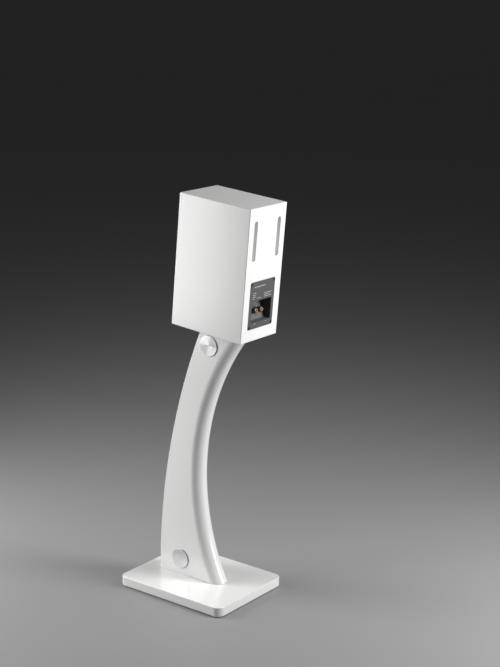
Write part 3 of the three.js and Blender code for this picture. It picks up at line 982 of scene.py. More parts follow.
    def plus(self, *others: Shape) -> Shape:
        """Lays other closed shells beside this one, in the same piece.

        Args:
            others: The other shells.

        Returns:
            The shape itself.
        """
        for other in others:
            mesh = bpy.data.meshes.new("passing")
            other.mesh.to_mesh(mesh)
            self.mesh.from_mesh(mesh)
            bpy.data.meshes.remove(mesh)
        return self

    def fluted(self, count: int, beyond: float, depth: float) -> Shape:
        """Presses grooves along Y into a turned solid.

        Args:
            count: The number of grooves. The solid has twice as many steps.
            beyond: The radius past which points are pressed in.
            depth: How deep the grooves are.

        Returns:
            The shape itself.
        """
        for vertex in self.mesh.verts:
            radius = math.hypot(vertex.co.x, vertex.co.z)
            step = round(math.atan2(vertex.co.z, vertex.co.x) / (math.pi / count))
            if radius > beyond and step % 2:
                vertex.co.x *= (radius - depth) / radius
                vertex.co.z *= (radius - depth) / radius
        return self


def bar(radius: float, start: float, end: float, steps: int = SMALL_ROUND) -> Shape:
    """A round bar along Y."""
    return Shape.turned([(0, start), (radius, start), (radius, end), (0, end)], steps)


def upright_bar(radius: float, bottom: float, top: float, steps: int = SMALL_ROUND) -> Shape:
    """A round bar along Z."""
    return bar(radius, bottom, top, steps).turn("X", 90.0)


def cross_bar(radius: float, left: float, right: float, steps: int = SMALL_ROUND) -> Shape:
    """A round bar along X."""
    return bar(radius, left, right, steps).turn("Z", -90.0)


def arc(radius: float, start: float, end: float, steps: int) -> list[tuple[float, float]]:
    """Points on a circle between two angles in degrees."""
    angles = [math.radians(start + (end - start) * step / steps) for step in range(steps + 1)]
    return [(radius * math.cos(angle), radius * math.sin(angle)) for angle in angles]


def four_places(x: float, low: float, high: float) -> list[tuple[float, float]]:
    """The corners of a rectangle, as the CAD numbers them."""
    return [(side * x, value) for side in (-1, 1) for value in (low, high)]


# ---------------------------------------------------------------- the workshop
class Workshop:
    """Makes finished pieces from shapes and finishes."""

    def __init__(self) -> None:
        """Starts with no materials mixed."""
        self.mixed: dict[str, bpy.types.Material] = {}

    def material(self, finish: Finish) -> bpy.types.Material:
        """The finish's material, mixed once.

        Args:
            finish: The finish.

        Returns:
            The material.
        """
        if finish.name not in self.mixed:
            recipe = Recipe(finish.name)
            finish.dress(recipe)
            self.mixed[finish.name] = recipe.material
        return self.mixed[finish.name]

    def build(self, shape: Shape, name: str, finish: Finish, place: Matrix,
              crease: float = 32.0) -> bpy.types.Object:
        """Turns a shape into an object at the origin, with its place in its mesh.

        Args:
            shape: The shape, which is used up.
            name: The object's name.
            finish: What it is finished with.
            place: Its frame, in metres.
            crease: The angle past which an edge stays sharp, in degrees.

        Returns:
            The object.
        """
        shape.placed(place @ Matrix.Scale(MM, 4))
        mesh = bpy.data.meshes.new(name)
        shape.mesh.to_mesh(mesh)
        shape.mesh.free()
        mesh.materials.append(self.material(finish))
        mesh.shade_smooth()
        mesh.set_sharp_from_angle(angle=math.radians(crease))
        piece = bpy.data.objects.new(name, mesh)
        bpy.context.scene.collection.objects.link(piece)
        normals = piece.modifiers.new("weighted_normals", "WEIGHTED_NORMAL")
        normals.keep_sharp = True
        return piece

    def fit(self, shape: Shape, name: str, finish: Finish, place: Matrix,
            stands_for: Sequence[str] = (), body: Body = Body.STAND,
            crease: float = 32.0) -> bpy.types.Object:
        """Builds a piece and puts it on its body.

        Args:
            shape: The shape, which is used up.
            name: The piece's name.
            finish: What it is finished with.
            place: Its frame, in metres.
            stands_for: The CAD nodes that it replaces.
            body: The CAD body that it rides on.
            crease: The angle past which an edge stays sharp, in degrees.

        Returns:
            The piece.
        """
        piece = self.build(shape, name, finish, place, crease)
        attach(piece, body.value)
        if stands_for:
            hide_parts(*stands_for)
        log.info("%s: %d faces, on %s", name, len(piece.data.polygons), body.value)
        return piece

    def dress(self, node: str, finish: Finish) -> None:
        """Gives a carried-over CAD node a finish.

        Args:
            node: The CAD node's name.
            finish: What it is finished with.
        """
        carried = frame["nodes"][node]
        carried.data.materials.clear()
        carried.data.materials.append(self.material(finish))
        log.info("%s: carried over", node)


# ---------------------------------------------------------------- finishes in use
STAND, CABINET = FRAMES.stand, FRAMES.cabinet
WHITE = (0.86, 0.856, 0.848)
ZINC_GREY = (0.62, 0.63, 0.65)
STEEL_BLACK = (0.03, 0.03, 0.032)
SILK_BLACK = (0.03, 0.03, 0.033)
ALUMINIUM = (0.60, 0.60, 0.61)
COPPER = (0.58, 0.25, 0.13)
WHITE_STAND = Lacquer("white_lacquer_stand", Slot.WHITE_LACQUER, WHITE, STAND)
WHITE_CABINET = Lacquer("white_lacquer_cabinet", Slot.WHITE_LACQUER, WHITE, CABINET)
ZINC = Metal("zinc_plate", Slot.ZINC_STEEL, ZINC_GREY, CABINET, 0.34)
BLACK_STEEL = Metal("black_oxide", Slot.DARK_STEEL, STEEL_BLACK, CABINET, 0.5, 0.7)
WHITE_POWDER = PowderCoat("white_powder_coat", Slot.WHITE_STEEL, (0.80, 0.79, 0.77), CABINET)
PAD_RUBBER = Moulding("pad_rubber", Slot.FOOT_RUBBER, (0.045, 0.045, 0.045), STAND, 0.75, 1.1, 0.05)
GREY_PAINT = SatinPaint("grey_satin_paint", Slot.GREY_PLATE, (0.062, 0.063, 0.065), CABINET)
PALE_INK = Ink("pale_ink", Slot.GREY_PLATE, (0.62, 0.63, 0.64), CABINET)
GREY_MOULDING = Moulding("grey_moulding", Slot.GREY_PLATE, (0.10, 0.102, 0.105), CABINET, 0.5, 0.6)
GOLD = Metal("gold_plate", Slot.GOLD_PLATE, (0.36, 0.20, 0.085), CABINET, 0.42)
SMOKED = Moulding("smoked_grip", Slot.BLACK_PLASTIC, (0.05, 0.028, 0.022), CABINET, 0.28, 1.5, 0.002, 0.6)
RED_GLOSS = Moulding("red_gloss", Slot.RED_BAND, (0.32, 0.02, 0.015), CABINET, 0.3, 1.5, 0.002, 0.5)
BLACK_GLOSS = Moulding("black_gloss", Slot.BLACK_BAND, (0.02, 0.02, 0.02), CABINET, 0.3, 1.5, 0.002, 0.5)
BOARD_GREEN = SolderMask("solder_mask", Slot.CIRCUIT_BOARD, (0.04, 0.17, 0.06), CABINET)
CERAMIC = Ceramic("resistor_cement", Slot.RESISTOR_CERAMIC, (0.78, 0.76, 0.71), CABINET)
FERRITE = Ceramic("ferrite_body", Slot.FERRITE, (0.06, 0.06, 0.066), CABINET, 0.55, 1.0, 0.06)
WADDING = Fleece("polyester_wadding", Slot.WADDING, (0.85, 0.84, 0.80), CABINET)
SHEATH = Moulding("cable_sheath", Slot.LEAD_SHEATH, (0.12, 0.12, 0.13), CABINET, 0.5, 0.9, 0.02)
BUTYL = Moulding("butyl_rubber", Slot.SURROUND_RUBBER, (0.022, 0.022, 0.023), CABINET, 0.42, 1.3, 0.01)


# ---------------------------------------------------------------- stand
@dataclass(frozen=True)
class Arc:
    """A circle in the Y-Z plane."""

    y: float
    z: float
    radius: float

    def along(self, start: Vector, direction: Vector) -> float:
        """How far a ray from inside the circle runs before it meets it.

        Args:
            start: Where the ray starts.
            direction: Its direction, of length one.

        Returns:
            The distance.
        """
        offset = start - Vector((0.0, self.y, self.z))
        across = direction.dot(offset)
        return -across + math.sqrt(across**2 - offset.length_squared + self.radius**2)


@dataclass(frozen=True)
class Stand:
    """The base board on its pads, the curved column, its cover discs and its bolts."""

    base_size: tuple[float, float] = (240.0, 300.0)
    base_thickness: float = 22.0
    base_corner: float = 19.0
    base_edge: float = 1.6
    pad_radius: float = 15.0
    pad_height: float = 2.0
    pad_inset: float = 26.0
    thickness: float = 48.0
    front: Arc = Arc(1456.4, 32.9, 1560.6)
    rear: Arc = Arc(566.3, 280.4, 580.8)
    sweep: tuple[float, float] = (-30.0, 42.0)
    column_edge: float = 0.9
    column_top: float = -6.6
    disc_radius: float = 24.0
    disc_thickness: float = 5.0
    disc_proud: float = 2.0
    lower_disc: tuple[float, float] = (-42.8, 64.2)
    upper_disc: tuple[float, float] = (38.0, 596.0)
    dowel_radius: float = 10.0
    bolt_radius: float = 4.0
    bolt_head: float = 8.0
    bolt_head_height: float = 5.0
    bolt_start: float = 6.0
    bolt_below_dowel_top: float = 2.0

    def build(self, shop: Workshop) -> None:
        """Makes every piece of the stand.

        Args:
            shop: The workshop that makes the pieces.
        """
        self.base_board(shop)
        self.pads(shop)
        self.column(shop)
        self.discs(shop)
        self.fixings(shop)

    def base_board(self, shop: Workshop) -> None:
        """The lacquered board, with the bolt's counterbore in its underside.

        Args:
            shop: The workshop that makes the pieces.
        """
        board = Shape.plate(*self.base_size, self.base_thickness, self.base_corner, 16)
        board.soften(self.base_edge, 4).move(0, 0, self.pad_height)
        y = self.lower_disc[0]
        through = self.pad_height + self.base_thickness + CUT_EXTRA
        well_top = self.bolt_start + self.bolt_head_height + GAP
        shank = upright_bar(self.bolt_radius + GAP, -CUT_EXTRA, through).move(0, y, 0)
        well = upright_bar(self.bolt_head + GAP, -CUT_EXTRA, well_top, MEDIUM_ROUND).move(0, y, 0)
        board.minus(shank, well)
        shop.fit(board, "base_board_rounded", WHITE_STAND, STAND, ["base_board"])

    def pads(self, shop: Workshop) -> None:
        """Four rubber pads with a gripping ring moulded into the underside.

        Args:
            shop: The workshop that makes the pieces.
        """
        top = self.pad_height - 0.1
        outer = self.pad_radius
        profile = [
            (0, 0.5), (7.5, 0.5), (8.0, 0), (outer - 0.5, 0), (outer, 0.5), (outer, top - 0.3),
            (outer - 0.3, top), (0, top),
        ]
        for end, name in ((-1, "front"), (1, "rear")):
            for side, hand in ((-1, "left"), (1, "right")):
                x = side * (self.base_size[0] / 2 - self.pad_inset)
                y = end * (self.base_size[1] / 2 - self.pad_inset)
                pad = Shape.turned(profile, MEDIUM_ROUND).turn("X", 90.0).move(x, y, 0)
                node = f"base_pad_{name}_{hand}"
                shop.fit(pad, f"{node}_moulded", PAD_RUBBER, STAND, [node])

    def column_blank(self) -> Shape:
        """The bent slab with its round rear edge, before it is cut to length.

        Returns:
            The slab.
        """
        nose = self.thickness / 2
        reach = self.rear.radius
        rounded = [(x, reach - inward) for x, inward in arc(nose, 0, 180, 24)]
        section = [(nose, 1.3 * reach), *rounded, (-nose, 1.3 * reach)]
        start, end = (math.radians(angle) for angle in self.sweep)
        blank = Shape()
        mesh = blank.mesh
        corners = [
            mesh.verts.new((x, self.rear.y - r * math.cos(start), self.rear.z + r * math.sin(start)))
            for x, r in section
        ]
        sides = [mesh.edges.new(pair) for pair in zip(corners, corners[1:] + corners[:1])]
        centre = Vector((0.0, self.rear.y, self.rear.z))
        bmesh.ops.spin(
            mesh, geom=corners + sides, cent=centre, axis=(1, 0, 0), angle=start - end, steps=64,
        )
        for vertex in mesh.verts:
            outward = Vector((0.0, vertex.co.y, vertex.co.z)) - centre
            if outward.length > 1.2 * reach:
                direction = outward.normalized()
                place = centre + direction * self.front.along(centre, direction)
                vertex.co = (vertex.co.x, place.y, place.z)
        return blank

    def trimmed(self, blank: Shape, point: Vector, outward: Vector) -> None:
        """Cuts the slab off at a plane and closes the cut.

        Args:
            blank: The slab.
            point: A point on the plane.
            outward: The way to what is cut off.
        """
        mesh = blank.mesh
        everything = mesh.verts[:] + mesh.edges[:] + mesh.faces[:]
        result = bmesh.ops.bisect_plane(
            mesh, geom=everything, plane_co=point, plane_no=outward, clear_outer=True,
        )
        rim = [item for item in result["geom_cut"] if isinstance(item, bmesh.types.BMEdge)]
        bmesh.ops.edgeloop_fill(mesh, edges=rim)

    def column(self, shop: Workshop) -> None:
        """The curved column, cut to length, with the discs' seats and the dowels' bores.

        Args:
            shop: The workshop that makes the pieces.
        """
        body = self.column_blank()
        bottom = self.pad_height + self.base_thickness + GAP
        head = FRAMES.cabinet_in_stand()
        self.trimmed(body, Vector((0, 0, bottom)), Vector((0, 0, -1)))
        self.trimmed(body, head @ Vector((0, 0, self.column_top)), head.to_3x3() @ Vector((0, 0, 1)))
        body.tidied().soften(self.column_edge, 3)
        face = self.thickness / 2
        seat = face - (self.disc_thickness - self.disc_proud) - GAP
        tools = []
        for y, z in (self.lower_disc, self.upper_disc):
            tools.append(cross_bar(self.dowel_radius + GAP, -seat - 1, seat + 1).move(0, y, z))
            for side in (-1, 1):
                ends = sorted((side * seat, side * (face + CUT_EXTRA)))
                rim = cross_bar(self.disc_radius + GAP, *ends, LARGE_ROUND)
                tools.append(rim.move(0, y, z))
        shop.fit(body.minus(*tools), "column_curved", WHITE_STAND, STAND, ["column"])

    def discs(self, shop: Workshop) -> None:
        """Four turned cover discs with a softened rim.

        Args:
            shop: The workshop that makes the pieces.
        """
        radius, depth = self.disc_radius, self.disc_thickness
        rim = [(radius - 0.8 + 0.8 * x, depth - 0.8 + 0.8 * y) for x, y in arc(1.0, 0, 90, 4)]
        profile = [(0, 0), (radius - 0.4, 0), (radius, 0.4), *rim, (0, depth)]
        for level, (y, z) in (("lower", self.lower_disc), ("upper", self.upper_disc)):
            place = shifted(STAND, (0.0, y, z))
            metal = TurnedMetal(f"turned_aluminium_{level}", Slot.TURNED_ALUMINIUM, ALUMINIUM, place)
            for side, hand in ((-1, "left"), (1, "right")):
                disc = Shape.turned(profile, LARGE_ROUND)
                disc.turn("Z", -90.0).move(self.thickness / 2 - depth + self.disc_proud, 0, 0)
                disc.turn("Z", 0.0 if side > 0 else 180.0)
                node = f"cover_disc_{level}_{hand}"
                shop.fit(disc, f"{node}_turned", metal, place, [node])

    def fixings(self, shop: Workshop) -> None:
        """The dowels keep their CAD shape, and the base bolt gets its head and thread.

        Args:
            shop: The workshop that makes the pieces.
        """
        for node in ("barrel_nut_lower", "barrel_nut_upper"):
            shop.dress(node, ZINC)
        y, z = self.lower_disc
        length = z + self.dowel_radius - self.bolt_below_dowel_top - self.bolt_start
        bolt = hex_bolt(self.bolt_radius, self.bolt_head, self.bolt_head_height, length)
        bolt.turn("X", 90.0).move(0, y, self.bolt_start)
        shop.fit(bolt, "base_bolt_threaded", ZINC, STAND, ["base_bolt"])


def hex_bolt(radius: float, head: float, head_height: float, length: float) -> Shape:
    """A hexagon bolt along Y, from its head at zero.

    Args:
        radius: The shank's radius.
        head: The head's radius across its corners.
        head_height: The height of the head.
        length: The whole length.

    Returns:
        The bolt.
    """
    crown = Shape.turned([(0, 0), (head, 0), (head, head_height), (0, head_height)], 6).soften(0.5, 2)
    half_pitch, thread_depth = 0.6, 0.45
    threads = [
        (radius - (thread_depth if step % 2 else 0.0), head_height + 1 + half_pitch * step)
        for step in range(int((length - head_height - 2) / half_pitch))
    ]
    start = (radius - 0.2, head_height - 0.1)
    shank = Shape.turned([(0, head_height - 0.1), start, *threads, (0, length)], SMALL_ROUND)
    return crown.plus(shank)


# ---------------------------------------------------------------- cabinet
@dataclass(frozen=True)
class Cabinet:
    """The lacquered box, its front board, port ducts, wadding and head plate."""

    half_width: float = 65.0
    half_depth: float = CABINET_HALF_DEPTH
    height: float = 300.0
    wall: float = CABINET_WALL
    edge: float = 1.7
    baffle_thickness: float = BAFFLE_THICKNESS
    port_x: float = 41.2
    port_bottom: float = 182.0
    port_top: float = 271.0
    port_half: float = 6.0
    duct_wall: float = 2.0
    duct_length: float = 75.0
    plate_half: float = 44.3
    plate_bottom: float = 27.6
    plate_top: float = 135.3
    plate_corner: float = 4.3
    plate_back: float = 94.7
    window_half: float = 37.5
    window_bottom: float = 39.8
    window_top: float = 93.4
    drivers: tuple[tuple[float, float, float], ...] = ((92.0, 49.3, 42.5), (206.0, 36.3, 25.0))
    head_size: tuple[float, float] = (80.0, 135.0)
    head_middle: float = 7.5
    head_thickness: float = 6.0
    head_corner: float = 8.0
    screw_x: float = 32.0
    screw_y: tuple[float, float] = (-50.0, 65.0)
    screw_hole: float = 2.8
    screw_depth: float = 9.0
    bolt_y: float = -19.543
    bolt_top: float = -1.0
    bolt_radius: float = 4.0
    bolt_head: float = 8.0
    bolt_head_height: float = 3.4
    bolt_length: float = 48.0
    pad_half_width: float = 48.5
    pad_front: float = -13.5
    pad_back: float = 78.5
    pad_bottom: float = 276.5
    pad_top: float = 286.8
    pad_rim: float = 9.0
    pad_lump: float = 14.0

    def build(self, shop: Workshop) -> None:
        """Makes every piece of the cabinet.

        Args:
            shop: The workshop that makes the pieces.
        """
        self.shell(shop)
        self.baffle(shop)
        self.ducts(shop)
        self.wadding(shop)
        self.head(shop)

    def slot(self, margin: float, start: float, end: float) -> Shape:
        """A round-ended slot's solid, widened by a margin.

        Args:
            margin: How far it is widened.
            start: Its front.
            end: Its back.

        Returns:
            The solid.
        """
        half = self.port_half + margin
        low, high = self.port_bottom - margin, self.port_top + margin
        return Shape.standing(half, low, high, half - 0.01, start, end)

    def shell(self, shop: Workshop) -> None:
        """The box, open at the front, with the slots and the terminal plate's rebate.

        Args:
            shop: The workshop that makes the pieces.
        """
        inner = self.half_width - self.wall
        inside = self.half_depth - self.wall
        box = Shape.block(
            (-self.half_width, -self.half_depth, 0), (self.half_width, self.half_depth, self.height),
        ).soften(self.edge, 4)
        cavity = Shape.block(
            (-inner, -self.half_depth - CUT_EXTRA, self.wall), (inner, inside, self.height - self.wall),
        )
        rebate = Shape.standing(
            self.plate_half, self.plate_bottom, self.plate_top, self.plate_corner,
            self.plate_back, self.half_depth + CUT_EXTRA,
        )
        window = Shape.block(
            (-self.window_half, inside - CUT_EXTRA, self.window_bottom),
            (self.window_half, self.half_depth, self.window_top),
        )
        slots = [
            self.slot(0.0, inside - CUT_EXTRA, self.half_depth + CUT_EXTRA).move(side * self.port_x, 0, 0)
            for side in (-1, 1)
        ]
        terminals = Terminals()
        holes = [
            bar(terminals.screw_hole, inside - CUT_EXTRA, self.half_depth).move(x, 0, z)
            for x, z in four_places(terminals.screw_x, *terminals.screw_z)
        ]
        wells = [
            upright_bar(self.screw_hole, -CUT_EXTRA, self.screw_depth + GAP).move(x, y, 0)
            for x, y in four_places(self.screw_x, *self.screw_y)
        ]
        box.minus(cavity, rebate, window, *slots, *holes, *wells)
        box.soften(0.45, 2, keep=self.on_mouth)
        shop.fit(box, "cabinet_lacquered", WHITE_CABINET, CABINET, ["cabinet_shell"])

    def on_mouth(self, middle: Vector) -> bool:
        """Whether an edge is at the mouth of a slot or of the rebate, on the rear face.

        Args:
            middle: The edge's middle.

        Returns:
            True if it is.
        """
        at_slot = abs(abs(middle.x) - self.port_x) < self.port_half + 0.1
        at_slot = at_slot and self.port_bottom - 0.1 < middle.z < self.port_top + 0.1
        at_plate = abs(middle.x) < self.plate_half + 0.1
        at_plate = at_plate and self.plate_bottom - 0.1 < middle.z < self.plate_top + 0.1
        return abs(middle.y - self.half_depth) < 0.01 and (at_slot or at_plate)

    def baffle(self, shop: Workshop) -> None:
        """The front board with stepped holes for both drivers.

        Args:
            shop: The workshop that makes the pieces.
        """
        inner = self.half_width - self.wall - GAP
        back = -self.half_depth + self.baffle_thickness
        board = Shape.block(
            (-inner, -self.half_depth, self.wall + GAP), (inner, back, self.height - self.wall - GAP),
        ).soften(0.6, 3)
        tools = []
        for z, outer, hole in self.drivers:
            seat = bar(outer, -self.half_depth - CUT_EXTRA, -self.half_depth + 3.3, LARGE_ROUND)
            through = bar(hole, -self.half_depth - 1, back + CUT_EXTRA, LARGE_ROUND)
            tools += [seat.move(0, 0, z), through.move(0, 0, z)]
        board.minus(*tools)
        edge = inner - 0.5
        board.soften(0.4, 2, keep=lambda at: abs(at.y + self.half_depth) < 0.01 and abs(at.x) < edge)
        shop.fit(board, "front_board_lacquered", WHITE_CABINET, CABINET, ["front_baffle"])

    def ducts(self, shop: Workshop) -> None:
        """Two flat ducts.

        Args:
            shop: The workshop that makes the pieces.
        """
        end = self.half_depth - self.wall - GAP
        start = end - self.duct_length
        for side, hand in ((-1, "left"), (1, "right")):
            duct = self.slot(self.duct_wall, start, end).minus(self.slot(0.0, start - 1, end + 1))
            duct.soften(0.5, 2).move(side * self.port_x, 0, 0)
            node = f"port_duct_{hand}"
            shop.fit(duct, f"{node}_lacquered", WHITE_CABINET, CABINET, [node])

    def wadding(self, shop: Workshop) -> None:
        """A soft pad of wadding glued under the cabinet's top.

        Args:
            shop: The workshop that makes the pieces.
        """
        half_width, top = self.pad_half_width, self.pad_top
        half_depth = (self.pad_back - self.pad_front) / 2
        middle = (self.pad_back + self.pad_front) / 2
        pad = Shape.block((-half_width, self.pad_front, self.pad_bottom), (half_width, self.pad_back, top))
        bmesh.ops.subdivide_edges(pad.mesh, edges=pad.mesh.edges[:], cuts=23, use_grid_fill=True)
        pad.tidied()
        for vertex in pad.mesh.verts:
            x, y, z = vertex.co
            rim = min(half_width - abs(x), half_depth - abs(y - middle)) / self.pad_rim
            crown = min(1.0, math.sqrt(max(0.0, rim)) + 0.25)
            lumps = noise.noise(vertex.co / self.pad_lump) * 1.1
            vertex.co.z = top - (top - z) * crown * (1.0 + 0.06 * lumps)
            vertex.co.x = x * (1.0 - 0.012 * lumps * (1.0 - crown))
        axes = {f"use_axis_{axis}": True for axis in "xyz"}
        bmesh.ops.smooth_vert(pad.mesh, verts=pad.mesh.verts[:], factor=0.5, **axes)
        piece = shop.fit(pad, "wadding_pad", WADDING, CABINET, ["damping_pad"], crease=80.0)

    def head(self, shop: Workshop) -> None:
        """The steel plate under the cabinet, its four screws and the column's bolt.

        Args:
            shop: The workshop that makes the pieces.
        """
        thickness = self.head_thickness
        plate = Shape.plate(*self.head_size, thickness, self.head_corner).soften(0.7, 3)
        plate.move(0, self.head_middle, -thickness - GAP)
        places = four_places(self.screw_x, *self.screw_y)
        through = thickness + 2 * CUT_EXTRA
        holes = [upright_bar(self.screw_hole, -through, through).move(x, y, 0) for x, y in places]
        seat = upright_bar(self.bolt_head + GAP, -thickness + 1, CUT_EXTRA, MEDIUM_ROUND)
        shank = upright_bar(self.bolt_radius + GAP, -through, 0)
        holes += [tool.move(0, self.bolt_y, 0) for tool in (seat, shank)]
        shop.fit(plate.minus(*holes), "head_plate_coated", WHITE_POWDER, CABINET, ["head_plate"])
        under = -thickness - GAP - 0.1
        for number, (x, y) in enumerate(places, 1):
            screw = socket_screw(4.8, 3.0, 2.5, self.screw_depth - under, 2.4)
            screw.turn("X", 90.0).move(x, y, under)
            node = f"head_plate_screw_{number}"
            shop.fit(screw, f"{node}_socket", ZINC, CABINET, [node])
        # The box's middle isn't quite on the leaning bolt's axis, which is at bolt_y.
        low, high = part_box("head_bolt")
        middle = CABINET.inverted() @ ((low + high) / 2)
        bolt = hex_bolt(self.bolt_radius, self.bolt_head, self.bolt_head_height, self.bolt_length)
        bolt.turn("X", -90.0).move(0, middle.y / MM, self.bolt_top)
        shop.fit(bolt, "head_bolt_threaded", ZINC, CABINET, ["head_bolt"])


def socket_screw(head: float, height: float, shank: float, length: float, key: float) -> Shape:
    """A screw with a domed head and a hexagon socket, along Y, with its head below zero.

    Args:
        head: The head's radius.
        height: The head's height.
        shank: The shank's radius.
        length: The shank's length above zero.
        key: The socket's radius across its corners.

    Returns:
        The screw.
    """
    dome = [(head * x, -height * y) for x, y in reversed(arc(1.0, 0, 90, 8))]
    profile = [*dome, (shank, 0.0), (shank, length - 1), (shank - 1, length), (0, length)]
    profile[0] = (0, -height)
    screw = Shape.turned(profile, MEDIUM_ROUND)
    return screw.minus(bar(key, -height - 1, -height * 0.35, 6))


# ---------------------------------------------------------------- terminals
@dataclass(frozen=True)
class Terminals:
    """The rear plate, the moulded cup behind it, and the two binding posts."""

    face: float = 98.0
    half_width: float = 44.0
    bottom: float = 27.9
    top: float = 135.0
    thickness: float = 3.0
    corner: float = 4.0
    mouth_half: float = 35.0
    mouth_bottom: float = 42.3
    mouth_top: float = 90.9
    low_depth: float = 14.0
    high_depth: float = 30.0
    cup_wall: float = 2.2
    screw_x: float = 39.5
    screw_z: tuple[float, float] = (33.0, 129.8)
    screw_hole: float = 1.8
    post_x: float = 9.5
    post_length: float = 16.15
    post_tip: tuple[float, float] = (93.0, 66.6)

    def build(self, shop: Workshop) -> None:
        """Makes every piece of the terminals.

        Args:
            shop: The workshop that makes the pieces.
        """
        self.plate(shop)
        self.print(shop)
        self.cup(shop)
        self.screws(shop)
        self.posts(shop)

    def tilt(self) -> float:
        """How far the cup's sloped back tips the posts up, in radians."""
        return math.atan2(self.high_depth - self.low_depth, self.mouth_top - self.mouth_bottom)

    def post_place(self, side: int) -> Matrix:
        """A post's frame, with Y along the post and zero on the cup's sloped back.

        Args:
            side: 1 for the red post and -1 for the black one.

        Returns:
            The frame, in metres.
        """
        y = self.post_tip[0] - self.post_length * math.cos(self.tilt())
        z = self.post_tip[1] - self.post_length * math.sin(self.tilt())
        return shifted(CABINET, (side * self.post_x, y, z), self.tilt())

    def plate(self, shop: Workshop) -> None:
        """The painted plate with its mouth and countersunk holes.

        Args:
            shop: The workshop that makes the pieces.
        """
        plate = Shape.standing(
            self.half_width, self.bottom, self.top, self.corner, self.face - self.thickness, self.face,
        ).soften(0.4, 2)
        mouth = Shape.standing(self.mouth_half, self.mouth_bottom, self.mouth_top, 1.2, 0, 200)
        hole, sunk = self.screw_hole, 2 * self.screw_hole
        sink = [(0, -20), (hole, -20), (hole, -2.0), (sunk, 0), (sunk, CUT_EXTRA), (0, CUT_EXTRA)]
        holes = [
            Shape.turned(sink, SMALL_ROUND).move(x, self.face, z)
            for x, z in four_places(self.screw_x, *self.screw_z)
        ]
        plate.minus(mouth, *holes)
        plate.soften(0.35, 2, keep=self.on_mouth)
        shop.fit(plate, "terminal_plate_painted", GREY_PAINT, CABINET, ["terminal_plate"])

    def on_mouth(self, middle: Vector) -> bool:
        """Whether an edge is on the rim of the plate's mouth.

        Args:
            middle: The edge's middle.

        Returns:
            True if it is.
        """
        inside = abs(middle.x) < self.mouth_half + 0.1
        inside = inside and self.mouth_bottom - 0.1 < middle.z < self.mouth_top + 0.1
        return inside and abs(middle.y - self.face) < 0.01

    def print(self, shop: Workshop) -> None:
        """Plain printed rules where such plates have their markings, and the polarity signs.

        Args:
            shop: The workshop that makes the pieces.
        """
        rows = [
            (29.5, -9.8, 123.0, 1.5), (33.6, 22.6, 110.0, 1.1), (33.6, 24.0, 105.6, 1.1),
            (33.6, 22.6, 101.2, 1.1), (33.6, 26.5, 96.8, 1.1), (-7.0, -33.0, 105.0, 1.1),
            (-7.0, -30.0, 101.0, 1.1), (-7.0, -33.0, 97.0, 1.1), (18.0, 4.0, 97.0, 1.1),
        ]
        words = (5.2, 3.4, 6.6, 2.6, 4.4)
        marks = Shape()
        low, high = self.face - 0.05, self.face + 0.04
        for row, (left, right, z, height) in enumerate(rows):
            x, word = left, row
            while x - 1.5 > right:
                end = max(right, x - words[word % len(words)])
                marks.plus(Shape.block((end, low, z - height / 2), (x, high, z + height / 2)))
                x, word = end - 1.2, word + 1
        for side in (-1, 1):
            x = side * 20.0
            marks.plus(Shape.block((x - 2, low, 38.6), (x + 2, high, 39.4)))
        marks.plus(Shape.block((19.6, low, 37.0), (20.4, high, 38.58)))
        marks.plus(Shape.block((19.6, low, 39.42), (20.4, high, 41.0)))
        shop.fit(marks, "terminal_plate_print", PALE_INK, CABINET)

    def section(self, front: float, margin: float) -> Profile:
        """The cup's outline from the side, grown by a margin.

        Args:
            front: The y of its open side.
            margin: How far it is grown.

        Returns:
            The outline as (y, z) corners.
        """
        back_high = self.face - self.high_depth - margin
        back_low = self.face - self.low_depth - margin
        low, high = self.mouth_bottom - margin, self.mouth_top + margin
        return [(front, low), (front, high), (back_high, high), (back_low, low)]

    def cup(self, shop: Workshop) -> None:
        """The moulded cup, with a hole for each post.

        Args:
            shop: The workshop that makes the pieces.
        """
        mouth = self.face - self.thickness - GAP
        reach = self.mouth_half + self.cup_wall
        cup = Shape.prism(self.section(mouth, self.cup_wall), -reach, reach).soften(1.0, 3)
        hollow = Shape.prism(self.section(mouth + CUT_EXTRA, 0.0), -self.mouth_half, self.mouth_half)
        hollow.soften(1.2, 3)
        to_cabinet = CABINET.inverted()
        holes = []
        for side in (-1, 1):
            local = to_cabinet @ self.post_place(side)
            local.translation /= MM
            holes.append(bar(2.8, -20, 5).placed(local))
        cup.minus(hollow, *holes)
        shop.fit(cup, "terminal_cup_moulded", GREY_MOULDING, CABINET, ["terminal_cup"])

    def screws(self, shop: Workshop) -> None:
        """Four countersunk screws with cross recesses.

        Args:
            shop: The workshop that makes the pieces.
        """
        profile = [
            (0, -0.1), (3.0, -0.1), (3.3, -0.3), (1.5, -1.9), (1.5, -10.2), (0.4, -11), (0, -11),
        ]
        for number, (x, z) in enumerate(four_places(self.screw_x, *self.screw_z), 1):
            screw = Shape.turned(profile, SMALL_ROUND)
            screw.minus(
                Shape.block((-1.8, -1.0, -0.32), (1.8, 1, 0.32)),
                Shape.block((-0.32, -1.0, -1.8), (0.32, 1, 1.8)),
            )
            screw.turn("Y", 37.0 * number).move(x, self.face, z)
            node = f"terminal_screw_{number}"
            shop.fit(screw, f"{node}_cross", BLACK_STEEL, CABINET, [node])

